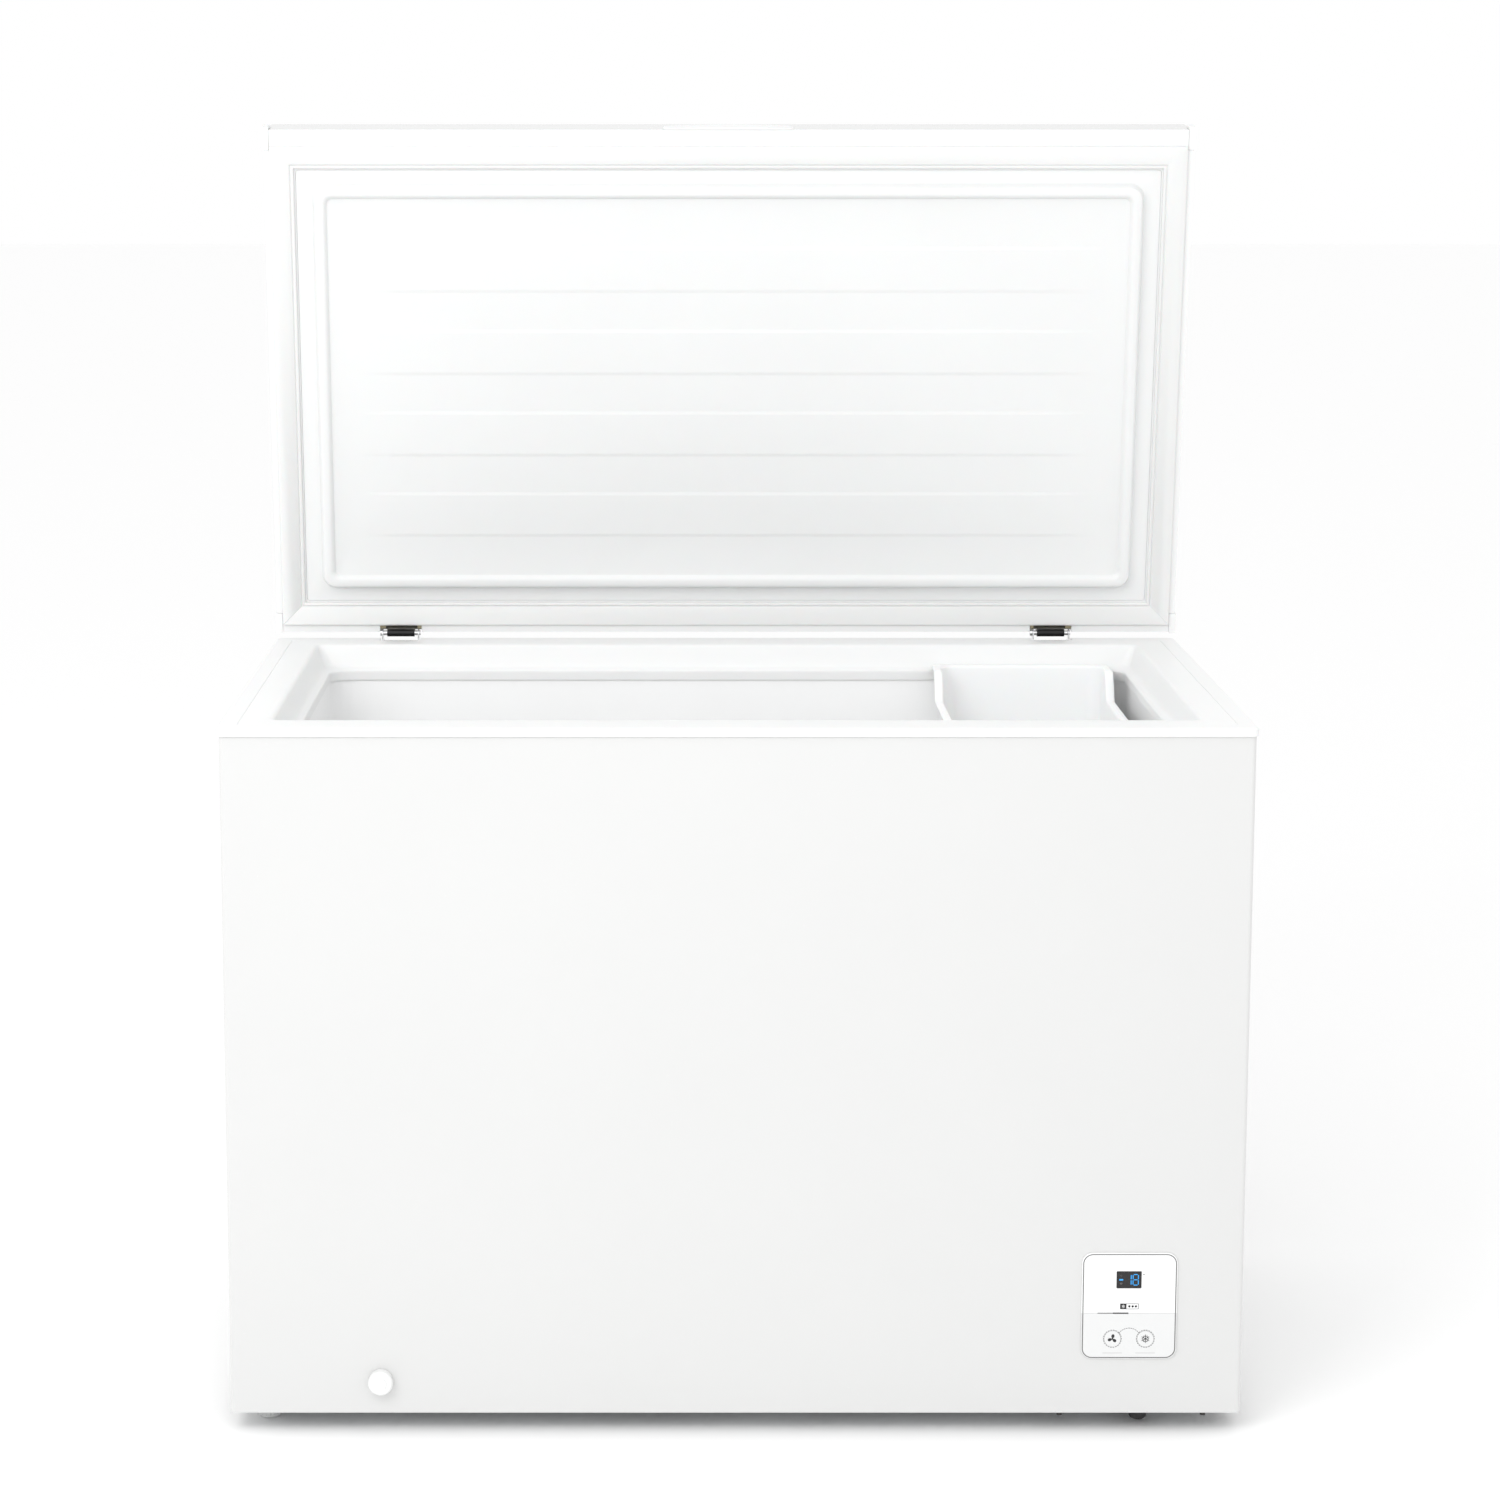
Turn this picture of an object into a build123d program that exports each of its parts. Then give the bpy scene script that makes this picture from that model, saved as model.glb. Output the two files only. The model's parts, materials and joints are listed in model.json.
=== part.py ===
"""Chest freezer: cabinet, hinged lid, hanging basket, controls, cooling plant and feet.

Frame: +Z up, +X to the user's right, the front faces -Y. The origin is on the floor under
the middle of the freezer as it stands with its lid open. The lid is modelled open.
"""

import os
from math import cos, radians, sin

from build123d import *

os.makedirs("parts", exist_ok=True)

# ------------------------------------------------------------------ driving dimensions, mm
WIDTH = 1120.0  # over the top trim
DEPTH = 628.0
RIM_TOP = 790.0  # floor to the top of the rim
FRONT = -336.0  # front edge of the rim
CABINET_BOTTOM = 22.0
LID_OPEN = 82.5  # degrees, the lid's stop
LID_HEIGHT = 55.0
HINGE_X = 406.0  # hinge centres, each side of the middle
STEP_X = 340.0  # machine room partition
STEP_TOP = 265.0  # machine room roof

SKIN = 0.8  # painted sheet steel
GAP = 0.3  # between pieces that only lie side by side
PLASTIC = 2.0  # moulded walls
FIT = 0.05  # radial clearance of a running fit

# ------------------------------------------------------------------ worked out from them
REAR = FRONT + DEPTH
MID_Y = FRONT + DEPTH / 2
OVERHANG = 2.5  # trim beyond the painted shell
SHELL_W = WIDTH - 2 * OVERHANG
SHELL_D = DEPTH - 2 * OVERHANG
SHELL_FRONT = FRONT + OVERHANG
SHELL_REAR = REAR - OVERHANG
SHELL_CORNER = 5.0
WALL_TOP = RIM_TOP - 3.0
INNER_W = SHELL_W - 2 * SKIN
INNER_D = SHELL_D - 2 * SKIN

RIM_BAND = 56.0  # rim edge to the opening
OPEN_W = WIDTH - 2 * RIM_BAND
OPEN_D = DEPTH - 2 * RIM_BAND
OPEN_CORNER = 8.0
SLOPE_IN = 8.0
SLOPE_DROP = 26.0
LEDGE_IN = 17.0
LEDGE_DROP = 30.0
LIP_DROP = 41.0
LIP_CORNER = 26.0
TRIM_BAND = 20.0
TRIM_REAR_BAND = 24.0
NOTCH_D = 20.5  # hinge notch in the rear trim
TRIM_SKIRT = 9.0
TRIM_WALL = 2.5
TRIM_EDGE_R = 2.2

TANK_IN = 14.7  # tank wall behind the throat's lip, from the opening
TANK_W = OPEN_W - 2 * TANK_IN
TANK_D = OPEN_D - 2 * TANK_IN
TANK_CORNER = LIP_CORNER + 2.3
TANK_TOP = RIM_TOP - 35.0
TANK_FLOOR = 95.0
TANK_STEP_X = 282.0
TANK_STEP_FLOOR = 325.0
COIL_SPACE = 9.0

FASCIA_X = 432.2
FASCIA_Z = 145.2
FASCIA_W = 105.0
FASCIA_H = 121.0
KEY_X = (414.3, 450.6)
KEY_Z = 107.9
KEY_R = 9.0
WINDOW_X = 431.4
WINDOW_Z = 175.3
DRAIN_X = -391.0
DRAIN_Z = 59.0
TANK_DRAIN_Y = -205.0

PIN_Y = REAR + 1.5
PIN_Z = RIM_TOP + 6.0
PIN_R = 3.0
HEAD_W = 46.0  # hinge head
NOTCH_W = 50.0
PLATE = 1.5  # hinge and bracket steel

# through cuts reach past the sheet they cut
CUT = 10.0
CUT_THIN = 4.0
CUT_HIGH = 30.0

FEET = {
    "foot_front_left": (-520.0, FRONT + 56.0),
    "foot_front_right": (520.0, FRONT + 150.0),
    "foot_rear_left": (-520.0, REAR - 56.0),
    "foot_rear_right": (520.0, REAR - 56.0),
}
FOOT_R = 14.0
FOOT_H = 17.0
STUD_R = 5.0
SOCKET_WALL = 4.0
SOCKET_H = 28.0
SOCKET_HOLE_R = STUD_R + SOCKET_WALL + 0.5

# hinge boxes on the back
BOX_LOW = RIM_TOP - 130.0
HINGE_SCREW_HOLE = 2.6
SCREW_IN = 14.0  # hinge screw from the plate's end
SCREW_OUT = 9.0  # hinge screw beyond the box
BOX_Y = REAR + 20.0
HEAD_DROP = 16.0
HEAD_LOW = RIM_TOP - HEAD_DROP
HINGE_SCREWS = [(side * HINGE_X + sx * (HEAD_W / 2 + SCREW_OUT), z) for side in (-1, 1)
                for sx in (-1, 1) for z in (BOX_LOW + SCREW_IN, HEAD_LOW - SCREW_IN)]

BASKET_X = 360.5
BASKET_W = 218.0


# ------------------------------------------------------------------ helpers
def finish(piece, name):
    """Label a finished piece and write its STEP file."""
    piece.part.label = name
    export_step(piece.part, f"parts/{name}.step")


def level(z):
    """Horizontal plane at height z."""
    return Plane.XY.offset(z)


def facing_front(y):
    """Upright plane across the freezer at depth y; extruding goes towards the front."""
    return Plane.XZ.offset(-y)


def facing_right(x):
    """Upright plane from front to back at x; extruding goes towards the right."""
    return Plane.YZ.offset(x)


def grown(size, wall):
    """A rectangle's size with a wall added on every side."""
    return (size[0] + 2 * wall, size[1] + 2 * wall)


def slab(plane, centre, size, height, radius=0.0, mode=Mode.ADD, taper=0.0):
    """Extrude one rectangle, with round corners if a radius is given."""
    with BuildSketch(plane) as outline:
        with Locations(centre):
            if radius > 0:
                RectangleRounded(*size, radius)
            else:
                Rectangle(*size)
    extrude(outline.sketch, amount=height, mode=mode, taper=taper)


def ring(plane, centre, outer, inner, height, outer_r, inner_r, mode=Mode.ADD):
    """Extrude a rectangular ring with round corners."""
    with BuildSketch(plane) as outline:
        with Locations(centre):
            RectangleRounded(*outer, outer_r)
            RectangleRounded(*inner, inner_r, mode=Mode.SUBTRACT)
    extrude(outline.sketch, amount=height, mode=mode)


def pegs(plane, centres, radius, height, mode=Mode.ADD):
    """Extrude round pegs, or cut round holes, at each centre."""
    with BuildSketch(plane) as outline:
        with Locations(*centres):
            Circle(radius)
    extrude(outline.sketch, amount=height, mode=mode)


def hexes(plane, centres, across_corners_r, height, mode=Mode.ADD):
    """Extrude hexagonal heads at each centre."""
    with BuildSketch(plane) as outline:
        with Locations(*centres):
            RegularPolygon(across_corners_r, 6)
    extrude(outline.sketch, amount=height, mode=mode)


def tube(points, bend, radius, bore=0.0):
    """Sweep a round tube along straight runs joined by bends of one radius."""
    with BuildLine() as route:
        FilletPolyline(*points, radius=bend)
    with BuildSketch(Plane(origin=route.line @ 0, z_dir=route.line % 0)) as section:
        Circle(radius)
        if bore > 0:
            Circle(bore, mode=Mode.SUBTRACT)
    sweep(section.sketch, path=route.line)


def loft_between(low, low_size, low_r, high, high_size, high_r, mode=Mode.ADD):
    """Loft between two horizontal round-cornered rectangles centred on the cabinet."""
    with BuildSketch(level(low)) as bottom:
        with Locations((0, MID_Y)):
            RectangleRounded(*low_size, low_r)
    with BuildSketch(level(high)) as top:
        with Locations((0, MID_Y)):
            RectangleRounded(*high_size, high_r)
    loft([bottom.sketch.face(), top.sketch.face()], mode=mode)


# ------------------------------------------------------------------ cabinet shell
SIDE_GRILLE_Y = 60.0
SIDE_GRILLE_Z = 140.0
SIDE_GRILLE_W = 220.0
SIDE_GRILLE_H = 170.0
BOX_W = 96.0
BOX_H = 112.0

FLANGE_IN = 8.0
REAR_TUCK = 8.0  # the rear panel's returns take over this far from the back
OPENING_CLEAR = 1.0
DRAIN_HOLE_R = 10.6
SIDE_GRILLE_LAP = 16.0
REAR_GRILLE_LAP = 20.0
GRILLE_CORNER = 6.0
GLAND_HOLE_R = 8.0

with BuildPart() as wrapper_panel:
    ring(level(CABINET_BOTTOM), (0, MID_Y), (SHELL_W, SHELL_D), (INNER_W, INNER_D),
         WALL_TOP - CABINET_BOTTOM, SHELL_CORNER, SHELL_CORNER - SKIN)
    ring(level(CABINET_BOTTOM), (0, MID_Y), (SHELL_W, SHELL_D), grown((INNER_W, INNER_D), -FLANGE_IN),
         SKIN, SHELL_CORNER, 1.0)
    slab(level(CABINET_BOTTOM - 1), (0, SHELL_REAR), (SHELL_W + 2, 2 * REAR_TUCK), RIM_TOP,
         mode=Mode.SUBTRACT)
    slab(facing_front(SHELL_FRONT + CUT / 2), (FASCIA_X, FASCIA_Z),
         grown((BOX_W, BOX_H), OPENING_CLEAR / 2), CUT, mode=Mode.SUBTRACT)
    pegs(facing_front(SHELL_FRONT + CUT / 2), [(DRAIN_X, DRAIN_Z)], DRAIN_HOLE_R, CUT,
         mode=Mode.SUBTRACT)
    slab(facing_right(SHELL_W / 2 - CUT / 2), (SIDE_GRILLE_Y, SIDE_GRILLE_Z),
         grown((SIDE_GRILLE_W, SIDE_GRILLE_H), -SIDE_GRILLE_LAP / 2), CUT, radius=GRILLE_CORNER,
         mode=Mode.SUBTRACT)
finish(wrapper_panel, "wrapper_panel")

REAR_GRILLE_X = 448.0
REAR_GRILLE_W = 190.0
REAR_GRILLE_Z = 145.0
REAR_GRILLE_H = 200.0
GLAND_X = 300.0
GLAND_Z = 60.0
SIDE_RETURN = REAR_TUCK - GAP

with BuildPart() as rear_panel:
    ring(level(CABINET_BOTTOM), (0, MID_Y), (SHELL_W, SHELL_D), (INNER_W, INNER_D),
         WALL_TOP - CABINET_BOTTOM, SHELL_CORNER, SHELL_CORNER - SKIN)
    slab(level(CABINET_BOTTOM - 1), (0, MID_Y - SIDE_RETURN), (SHELL_W + 2, SHELL_D), RIM_TOP,
         mode=Mode.SUBTRACT)
    for side in (-1, 1):
        slab(facing_front(SHELL_REAR + 1), (side * HINGE_X, WALL_TOP), (NOTCH_W, CUT_HIGH),
             CUT_THIN, mode=Mode.SUBTRACT)
    pegs(facing_front(SHELL_REAR + 1), HINGE_SCREWS, HINGE_SCREW_HOLE, CUT_THIN,
         mode=Mode.SUBTRACT)
    slab(facing_front(SHELL_REAR + 1), (REAR_GRILLE_X, REAR_GRILLE_Z),
         grown((REAR_GRILLE_W, REAR_GRILLE_H), -REAR_GRILLE_LAP / 2), CUT_THIN,
         mode=Mode.SUBTRACT)
    pegs(facing_front(SHELL_REAR + 1), [(GLAND_X, GLAND_Z)], GLAND_HOLE_R, CUT_THIN,
         mode=Mode.SUBTRACT)
finish(rear_panel, "rear_panel")

FLOOR_IN_W = INNER_W - 2 * (SKIN + 2 * GAP)
FLOOR_TOP = CABINET_BOTTOM + 2 * SKIN + GAP
FLOOR_D = INNER_D - 6.0
FLOOR_Y = MID_Y - 2.0
with BuildPart() as base_panel:
    left = -FLOOR_IN_W / 2
    right = STEP_X - GAP
    slab(level(FLOOR_TOP - SKIN), ((left + right) / 2, FLOOR_Y), (right - left, FLOOR_D),
         SKIN)
    pegs(level(FLOOR_TOP - SKIN), [(x, y) for x, y in FEET.values() if x < 0], SOCKET_HOLE_R,
         SKIN, mode=Mode.SUBTRACT)
finish(base_panel, "base_panel")

STEP_FLANGE = 10.0
step_low = CABINET_BOTTOM + SKIN + GAP
with BuildPart() as machine_room_step:
    roof_w = FLOOR_IN_W / 2 - STEP_X
    slab(level(step_low), (STEP_X + SKIN / 2, FLOOR_Y), (SKIN, FLOOR_D), STEP_TOP - step_low)
    slab(level(STEP_TOP - SKIN), (STEP_X + roof_w / 2, FLOOR_Y), (roof_w, FLOOR_D), SKIN)
    slab(level(step_low), (STEP_X + STEP_FLANGE / 2, FLOOR_Y), (STEP_FLANGE, FLOOR_D), SKIN)
finish(machine_room_step, "machine_room_step")


# ------------------------------------------------------------------ tank, throat and trim
def tank_block(grow, floor_drop, top):
    """The tank's volume, stepped over the machine room, grown sideways by a distance."""
    with BuildPart() as block:
        with BuildSketch(level(TANK_FLOOR - floor_drop)):
            with Locations((0, MID_Y)):
                RectangleRounded(TANK_W + 2 * grow, TANK_D + 2 * grow, TANK_CORNER + grow)
        extrude(amount=top - TANK_FLOOR + floor_drop)
        step_w = TANK_W / 2 - TANK_STEP_X + 60
        step_h = TANK_STEP_FLOOR - TANK_FLOOR
        with BuildSketch(level(TANK_FLOOR - floor_drop)):
            with Locations((TANK_STEP_X + grow + step_w / 2, MID_Y)):
                Rectangle(step_w, TANK_D + 80)
        extrude(amount=step_h, mode=Mode.SUBTRACT)
    return block.part


tank_space = tank_block(0, 0, RIM_TOP)
tank_outside = tank_block(SKIN, SKIN, TANK_TOP)
with BuildPart() as tank_liner:
    add(tank_outside)
    add(tank_space, mode=Mode.SUBTRACT)
    pegs(level(TANK_FLOOR - 3), [(DRAIN_X, TANK_DRAIN_Y)], 10.0, 6, mode=Mode.SUBTRACT)
finish(tank_liner, "tank_liner")

FLANGE_CORNER = 3.0
slope_size = (OPEN_W - 2 * SLOPE_IN, OPEN_D - 2 * SLOPE_IN)
lip_size = (OPEN_W - 2 * LEDGE_IN, OPEN_D - 2 * LEDGE_IN)
FLANGE_W = WIDTH - 2 * TRIM_BAND - 2 * GAP
FLANGE_D = DEPTH - TRIM_BAND - TRIM_REAR_BAND - 2 * GAP
FLANGE_Y = MID_Y + (TRIM_BAND - TRIM_REAR_BAND) / 2
SLOPE_CORNER = OPEN_CORNER + 4


with BuildPart() as throat_frame:
    slab(level(RIM_TOP - PLASTIC), (0, FLANGE_Y), (FLANGE_W, FLANGE_D), PLASTIC,
         radius=FLANGE_CORNER)
    loft_between(RIM_TOP - SLOPE_DROP, grown(slope_size, PLASTIC), SLOPE_CORNER + PLASTIC,
                 RIM_TOP, grown((OPEN_W, OPEN_D), PLASTIC), OPEN_CORNER + PLASTIC)
    loft_between(RIM_TOP - LEDGE_DROP - PLASTIC, grown(lip_size, PLASTIC), LIP_CORNER + PLASTIC,
                 RIM_TOP - SLOPE_DROP, grown(slope_size, PLASTIC), SLOPE_CORNER + PLASTIC)
    loft_between(RIM_TOP - LIP_DROP, grown(lip_size, PLASTIC), LIP_CORNER + PLASTIC,
                 RIM_TOP - LEDGE_DROP, grown(lip_size, PLASTIC), LIP_CORNER + PLASTIC)
    loft_between(RIM_TOP - SLOPE_DROP, slope_size, SLOPE_CORNER,
                 RIM_TOP, (OPEN_W, OPEN_D), OPEN_CORNER, mode=Mode.SUBTRACT)
    loft_between(RIM_TOP - LEDGE_DROP, lip_size, LIP_CORNER,
                 RIM_TOP - SLOPE_DROP, slope_size, SLOPE_CORNER, mode=Mode.SUBTRACT)
    loft_between(RIM_TOP - LIP_DROP - 1, lip_size, LIP_CORNER,
                 RIM_TOP - LEDGE_DROP, lip_size, LIP_CORNER, mode=Mode.SUBTRACT)
finish(throat_frame, "throat_frame")

with BuildPart() as top_trim:
    slab(level(RIM_TOP - TRIM_SKIRT), (0, MID_Y), (WIDTH, DEPTH), TRIM_SKIRT,
         radius=SHELL_CORNER + OVERHANG)
    fillet(top_trim.faces().sort_by(Axis.Z)[-1].edges(), radius=TRIM_EDGE_R)
    slab(level(RIM_TOP - TRIM_SKIRT), (0, MID_Y), (SHELL_W + 2 * GAP, SHELL_D + 2 * GAP),
         TRIM_SKIRT - TRIM_WALL, radius=SHELL_CORNER + GAP, mode=Mode.SUBTRACT)
    slab(level(RIM_TOP - TRIM_SKIRT), (0, FLANGE_Y),
         (WIDTH - 2 * TRIM_BAND, DEPTH - TRIM_BAND - TRIM_REAR_BAND), TRIM_SKIRT,
         radius=FLANGE_CORNER + GAP, mode=Mode.SUBTRACT)
    for side in (-1, 1):
        slab(level(RIM_TOP - 2 * CUT), (side * HINGE_X, REAR), (NOTCH_W, 2 * NOTCH_D), CUT_HIGH,
             mode=Mode.SUBTRACT)
finish(top_trim, "top_trim")

# ------------------------------------------------------------------ foam body
FOAM_SIDE = 6.0
FOAM_W = INNER_W - 2 * FOAM_SIDE
FOAM_FRONT = SHELL_FRONT + SKIN + FOAM_SIDE
FOAM_REAR = SHELL_REAR - SKIN - GAP
FOAM_TOP = RIM_TOP - 3.5
coil_room = tank_block(SKIN + COIL_SPACE, SKIN + GAP, RIM_TOP)
with BuildPart() as cabinet_foam:
    slab(level(FLOOR_TOP + GAP), (0, (FOAM_FRONT + FOAM_REAR) / 2),
         (FOAM_W, FOAM_REAR - FOAM_FRONT), FOAM_TOP - FLOOR_TOP - GAP)
    add(coil_room, mode=Mode.SUBTRACT)
    slab(level(RIM_TOP - LIP_DROP - 4), (0, MID_Y), grown((OPEN_W, OPEN_D), 4), LIP_DROP + 10,
         radius=OPEN_CORNER + 4, mode=Mode.SUBTRACT)
    slab(level(FLOOR_TOP), (STEP_X + 150 - GAP, MID_Y), (300, DEPTH), STEP_TOP - FLOOR_TOP + GAP,
         mode=Mode.SUBTRACT)
    for side in (-1, 1):
        slab(level(RIM_TOP - HEAD_DROP - 4), (side * HINGE_X, REAR),
             (NOTCH_W + 4, 2 * (TRIM_BAND + 4)), 30, mode=Mode.SUBTRACT)
    pegs(facing_front(TANK_DRAIN_Y + 14), [(DRAIN_X, DRAIN_Z)], 14, 200, mode=Mode.SUBTRACT)
    pegs(level(DRAIN_Z - 13), [(DRAIN_X, TANK_DRAIN_Y)], 14, 60, mode=Mode.SUBTRACT)
    pegs(level(FLOOR_TOP - 1), [(x, y) for x, y in FEET.values() if x < 0], STUD_R + 5, 32,
         mode=Mode.SUBTRACT)
    pegs(facing_front(FOAM_REAR + 1), [(GLAND_X, GLAND_Z)], 11, 34, mode=Mode.SUBTRACT)
finish(cabinet_foam, "cabinet_foam")

# ------------------------------------------------------------------ coils and drain
EVAP_R = 4.0
EVAP_TURNS = 5
EVAP_LOW = 380.0
EVAP_PITCH = 70.0
with BuildPart() as evaporator_coil:
    half_w = TANK_W / 2 + SKIN + GAP + EVAP_R
    half_d = TANK_D / 2 + SKIN + GAP + EVAP_R
    corners = [(-half_w, -half_d), (half_w, -half_d), (half_w, half_d), (-half_w, half_d)]
    rise = EVAP_PITCH / len(corners)
    route = [(0, MID_Y - half_d, EVAP_LOW - rise)]
    for turn in range(EVAP_TURNS):
        for i, (x, y) in enumerate(corners[1:] + corners[:1]):
            route.append((x, MID_Y + y, EVAP_LOW + rise * (len(corners) * turn + i)))
    route.append((0, MID_Y - half_d, EVAP_LOW + EVAP_TURNS * EVAP_PITCH))
    tube(route, TANK_CORNER + SKIN + GAP + EVAP_R, EVAP_R)
finish(evaporator_coil, "evaporator_coil")

COND_R = 2.5
COND_LEVELS = [300.0 + 80.0 * i for i in range(6)]
with BuildPart() as condenser_coil:
    half_w = INNER_W / 2 - GAP - COND_R
    front_y = SHELL_FRONT + SKIN + GAP + COND_R
    back_y = REAR - 60.0
    stops = []
    for i, z in enumerate(COND_LEVELS):
        run = [(-half_w, back_y, z), (-half_w, front_y, z), (half_w, front_y, z),
               (half_w, back_y, z)]
        stops += run if i % 2 == 0 else run[::-1]
    tube(stops, 12, COND_R)
finish(condenser_coil, "condenser_coil")

with BuildPart() as drain_tube:
    tube([(DRAIN_X, TANK_DRAIN_Y, TANK_FLOOR - SKIN - GAP), (DRAIN_X, TANK_DRAIN_Y, DRAIN_Z),
          (DRAIN_X, SHELL_FRONT + 22, DRAIN_Z)], 22, 10.0, bore=8.0)
finish(drain_tube, "drain_tube")

with BuildPart() as drain_bezel:
    with BuildSketch(facing_right(DRAIN_X)) as half:
        with BuildLine():
            Polyline((SHELL_FRONT - 1.8, DRAIN_Z + 8.0), (SHELL_FRONT - 1.8, DRAIN_Z + 12.8),
                     (SHELL_FRONT - 0.2, DRAIN_Z + 13.2), (SHELL_FRONT - 0.2, DRAIN_Z + 10.4),
                     (SHELL_FRONT + 21.5, DRAIN_Z + 10.4), (SHELL_FRONT + 21.5, DRAIN_Z + 8.0),
                     close=True)
        make_face()
    revolve(half.sketch, axis=Axis((DRAIN_X, 0, DRAIN_Z), (0, 1, 0)))
finish(drain_bezel, "drain_bezel")

with BuildPart() as drain_cap:
    cap_back = SHELL_FRONT - 2.1
    cap_front = cap_back - 9.5
    with BuildSketch(facing_right(DRAIN_X)) as half:
        with BuildLine():
            Polyline((cap_front - 1.2, DRAIN_Z), (cap_front - 1.2, DRAIN_Z + 6.5),
                     (cap_front, DRAIN_Z + 6.8), (cap_front, DRAIN_Z + 12.0),
                     (cap_front + 1.4, DRAIN_Z + 13.5), (cap_back, DRAIN_Z + 13.5),
                     (cap_back, DRAIN_Z + 7.9), (cap_back + 14, DRAIN_Z + 7.9),
                     (cap_back + 16, DRAIN_Z + 7.0), (cap_back + 16, DRAIN_Z), close=True)
        make_face()
    revolve(half.sketch, axis=Axis((DRAIN_X, 0, DRAIN_Z), (0, 1, 0)))
finish(drain_cap, "drain_cap")

with BuildPart() as tank_drain_plug:
    pegs(level(TANK_FLOOR + GAP), [(DRAIN_X, TANK_DRAIN_Y)], 15, 3)
    pegs(level(TANK_FLOOR - 12), [(DRAIN_X, TANK_DRAIN_Y)], 7.8, 13)
    slab(level(TANK_FLOOR + 3), (DRAIN_X, TANK_DRAIN_Y), (16, 4), 9, radius=1.5)
finish(tank_drain_plug, "tank_drain_plug")

# ------------------------------------------------------------------ controls
FASCIA_BACK = SHELL_FRONT - 0.2
FASCIA_T = 2.0
FASCIA_CORNER = 12.0
FASCIA_EDGE_R = 0.8
WINDOW_SIZE = (27.0, 19.1)
WINDOW_CORNER = 1.0
BOARD_IN = 6.0  # board edge to the box's outside
BOARD_T = 1.6
BOX_DEEP = 32.0
with BuildPart() as control_fascia:
    slab(facing_front(FASCIA_BACK), (FASCIA_X, FASCIA_Z), (FASCIA_W, FASCIA_H), FASCIA_T,
         radius=FASCIA_CORNER)
    fillet(control_fascia.faces().sort_by(Axis.Y)[0].edges(), radius=FASCIA_EDGE_R)
    slab(facing_front(FASCIA_BACK), (WINDOW_X, WINDOW_Z), grown(WINDOW_SIZE, GAP), FASCIA_T,
         radius=WINDOW_CORNER, mode=Mode.SUBTRACT)
    pegs(facing_front(FASCIA_BACK), [(x, KEY_Z) for x in KEY_X], KEY_R + GAP, FASCIA_T,
         mode=Mode.SUBTRACT)
finish(control_fascia, "control_fascia")

with BuildPart() as display_window:
    slab(facing_front(FASCIA_BACK - 0.2), (WINDOW_X, WINDOW_Z), WINDOW_SIZE, 1.6,
         radius=WINDOW_CORNER)
finish(display_window, "display_window")

BOX_FRONT = FASCIA_BACK + 0.1
BOX_WALL = 2.0
with BuildPart() as control_box:
    slab(facing_front(BOX_FRONT + BOX_DEEP), (FASCIA_X, FASCIA_Z), (BOX_W, BOX_H), BOX_DEEP,
         radius=3)
    slab(facing_front(BOX_FRONT + BOX_DEEP - BOX_WALL), (FASCIA_X, FASCIA_Z),
         (BOX_W - 2 * BOX_WALL, BOX_H - 2 * BOX_WALL), BOX_DEEP, radius=1.5, mode=Mode.SUBTRACT)
    pegs(facing_front(BOX_FRONT + BOX_DEEP), [(FASCIA_X - 30, FASCIA_Z)], 6, BOX_WALL,
         mode=Mode.SUBTRACT)
finish(control_box, "control_box")

BOARD_Y = BOX_FRONT + 12.0
with BuildPart() as control_board:
    slab(facing_front(BOARD_Y), (FASCIA_X, FASCIA_Z), grown((BOX_W, BOX_H), -BOARD_IN), BOARD_T)
    slab(facing_front(BOARD_Y - BOARD_T), (WINDOW_X, WINDOW_Z), (24, 16), 7.5)
    for x in KEY_X:
        slab(facing_front(BOARD_Y - BOARD_T), (x, KEY_Z), (6, 6), 5)
    slab(facing_front(BOARD_Y + 12), (FASCIA_X, FASCIA_Z - 20), (22, 18), 12.0)
finish(control_board, "control_board")

for name, x in zip(("fridge_key", "freezer_key"), KEY_X):
    with BuildPart() as key:
        pegs(facing_front(FASCIA_BACK + 0.3), [(x, KEY_Z)], KEY_R, 2.5)
        pegs(facing_front(FASCIA_BACK + 3.0), [(x, KEY_Z)], 3.0, 3.0)
    finish(key, name)

# ------------------------------------------------------------------ machine room
TRAY_FRONT = FRONT + 14.0
TRAY_REAR = REAR - 22.0
TRAY_LEFT = STEP_X + SKIN + 2.0
TRAY_RIGHT = INNER_W / 2 - 17.0
TRAY_Z = CABINET_BOTTOM + SKIN + 2 * GAP
TRAY_T = 1.5
BOLT_X = (361.0, 520.5)
BOLT_Y = (FRONT + 32.0, REAR - 150.0)
BUFFER_X = 448.0
tray_mid = ((TRAY_LEFT + TRAY_RIGHT) / 2, (TRAY_FRONT + TRAY_REAR) / 2)
tray_size = (TRAY_RIGHT - TRAY_LEFT, TRAY_REAR - TRAY_FRONT)
COMP_X = 446.0
COMP_Y = -60.0
COMP_FOOT_X = 82.0
COMP_FOOT_Y = 50.0
MOUNT_POINTS = [(COMP_X + sx * COMP_FOOT_X, COMP_Y + sy * COMP_FOOT_Y)
                for sx in (-1, 1) for sy in (-1, 1)]
bolt_points = [(x, y) for x in BOLT_X for y in BOLT_Y]

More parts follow.
